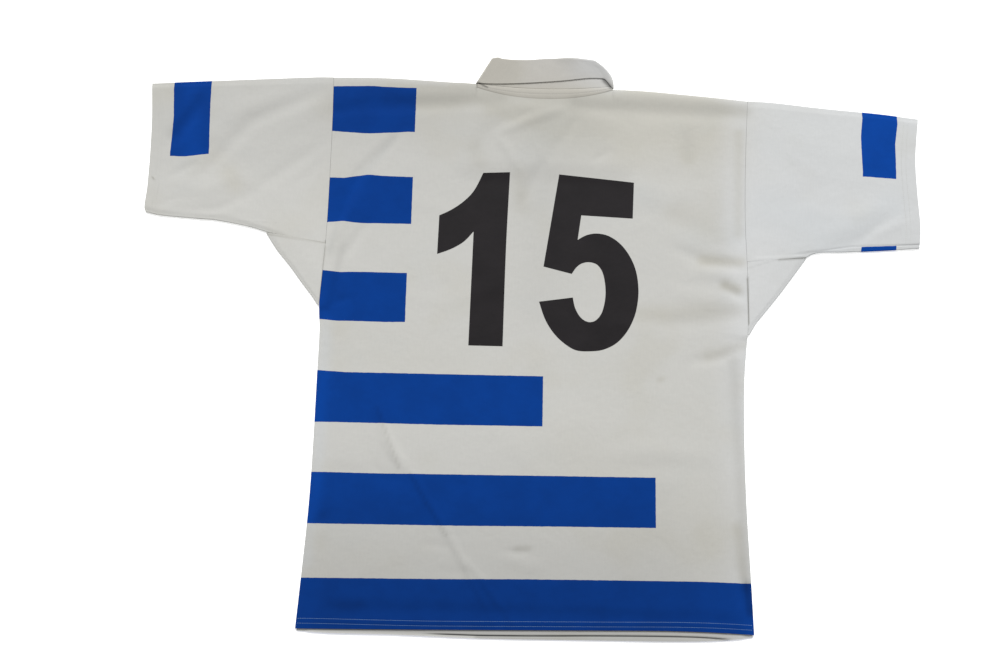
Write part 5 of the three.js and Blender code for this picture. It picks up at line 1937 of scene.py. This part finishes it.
class SHIRT_OT_stage(bpy.types.Operator):
    """Pale floor, soft lights and the camera"""

    bl_idname = "shirt.stage"
    bl_label = "Stage"
    bl_options = {"REGISTER", "UNDO"}

    def execute(self, context):
        settings = context.scene.shirt
        make_floor(settings)
        make_lights(settings)
        make_camera(settings)
        return {"FINISHED"}


# Height of the floor's top, just below the shirt's lowest points, m
FLOOR_TOP = -0.0004


def make_floor(settings):
    half = settings.sizes.floor_width / 2
    corners = [(x * half, y * half, FLOOR_TOP) for x, y in ((-1, -1), (1, -1), (1, 1), (-1, 1))]
    mesh = bpy.data.meshes.new("floor")
    mesh.from_pydata(corners, [], [(0, 1, 2, 3)])
    material = bpy.data.materials.new("pale floor")
    w = Wiring(node_tree(material))
    w.surface((*settings.colours.floor, 1.0), 0.9, Specular_IOR_Level=0.0,
              Emission_Color=(1.0, 1.0, 1.0, 1.0), Emission_Strength=settings.sizes.floor_glow)
    mesh.materials.append(material)
    floor = bpy.data.objects.new("floor", mesh)
    bpy.context.scene.collection.objects.link(floor)


# From where the soft light comes
KEY_DIRECTION = (0.0, 2.0, 2.0)


def make_lights(settings):
    world = bpy.data.worlds.new("even light")
    world.use_nodes = True
    background = world.node_tree.nodes["Background"]
    background.inputs[0].default_value = (1.0, 1.0, 1.0, 1.0)
    background.inputs[1].default_value = settings.sizes.sky
    bpy.context.scene.world = world
    data = bpy.data.lights.new("key", "SUN")
    data.energy = settings.sizes.key_strength
    data.angle = settings.sizes.key_spread
    lamp = bpy.data.objects.new("key", data)
    lamp.location = KEY_DIRECTION
    lamp.rotation_mode = "QUATERNION"
    lamp.rotation_quaternion = (-Vector(KEY_DIRECTION)).to_track_quat("-Z", "Y")
    bpy.context.scene.collection.objects.link(lamp)


def make_camera(settings):
    data = bpy.data.cameras.new("camera")
    data.lens = settings.sizes.lens
    data.sensor_width = 36.0
    data.clip_start, data.clip_end = 0.01, 50.0
    camera = bpy.data.objects.new("camera", data)
    across = Vector((1, 0, 0))
    up = Vector((0, math.cos(CAMERA_TILT), math.sin(CAMERA_TILT)))
    back = across.cross(up)
    right = across * math.cos(CAMERA_ROLL) + up * math.sin(CAMERA_ROLL)
    above = up * math.cos(CAMERA_ROLL) - across * math.sin(CAMERA_ROLL)
    matrix = Matrix((right, above, back)).transposed().to_4x4()
    matrix.translation = CAMERA_PLACE
    camera.matrix_world = matrix
    bpy.context.scene.collection.objects.link(camera)
    bpy.context.scene.camera = camera


OPERATORS = (
    SHIRT_OT_stage,
    SHIRT_OT_body,
    SHIRT_OT_sleeves,
    SHIRT_OT_gussets,
    SHIRT_OT_collar,
    SHIRT_OT_number,
    SHIRT_OT_stitching,
)


class SHIRT_PT_steps(bpy.types.Panel):
    """Steps that build the shirt"""

    bl_idname = "SHIRT_PT_steps"
    bl_label = "Rugby shirt"
    bl_space_type = "VIEW_3D"
    bl_region_type = "UI"
    bl_category = "Shirt"

    def draw(self, context):
        for step in OPERATORS:
            self.layout.operator(step.bl_idname)
        for settings in (context.scene.shirt.colours, context.scene.shirt.sizes):
            for name in settings.bl_rna.properties.keys():
                if name not in ("rna_type", "name"):
                    self.layout.prop(settings, name)


CLASSES = (ShirtColours, ShirtSizes, ShirtSettings, *OPERATORS, SHIRT_PT_steps)


def register():
    for cls in CLASSES:
        bpy.utils.register_class(cls)
    bpy.types.Scene.shirt = bpy.props.PointerProperty(type=ShirtSettings)


def unregister():
    del bpy.types.Scene.shirt
    for cls in reversed(CLASSES):
        bpy.utils.unregister_class(cls)


def main():
    register()
    bpy.context.scene.view_settings.view_transform = "Standard"
    for step in OPERATORS:
        category, name = step.bl_idname.split(".")
        getattr(getattr(bpy.ops, category), name)()
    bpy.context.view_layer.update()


if __name__ == "__main__":
    main()
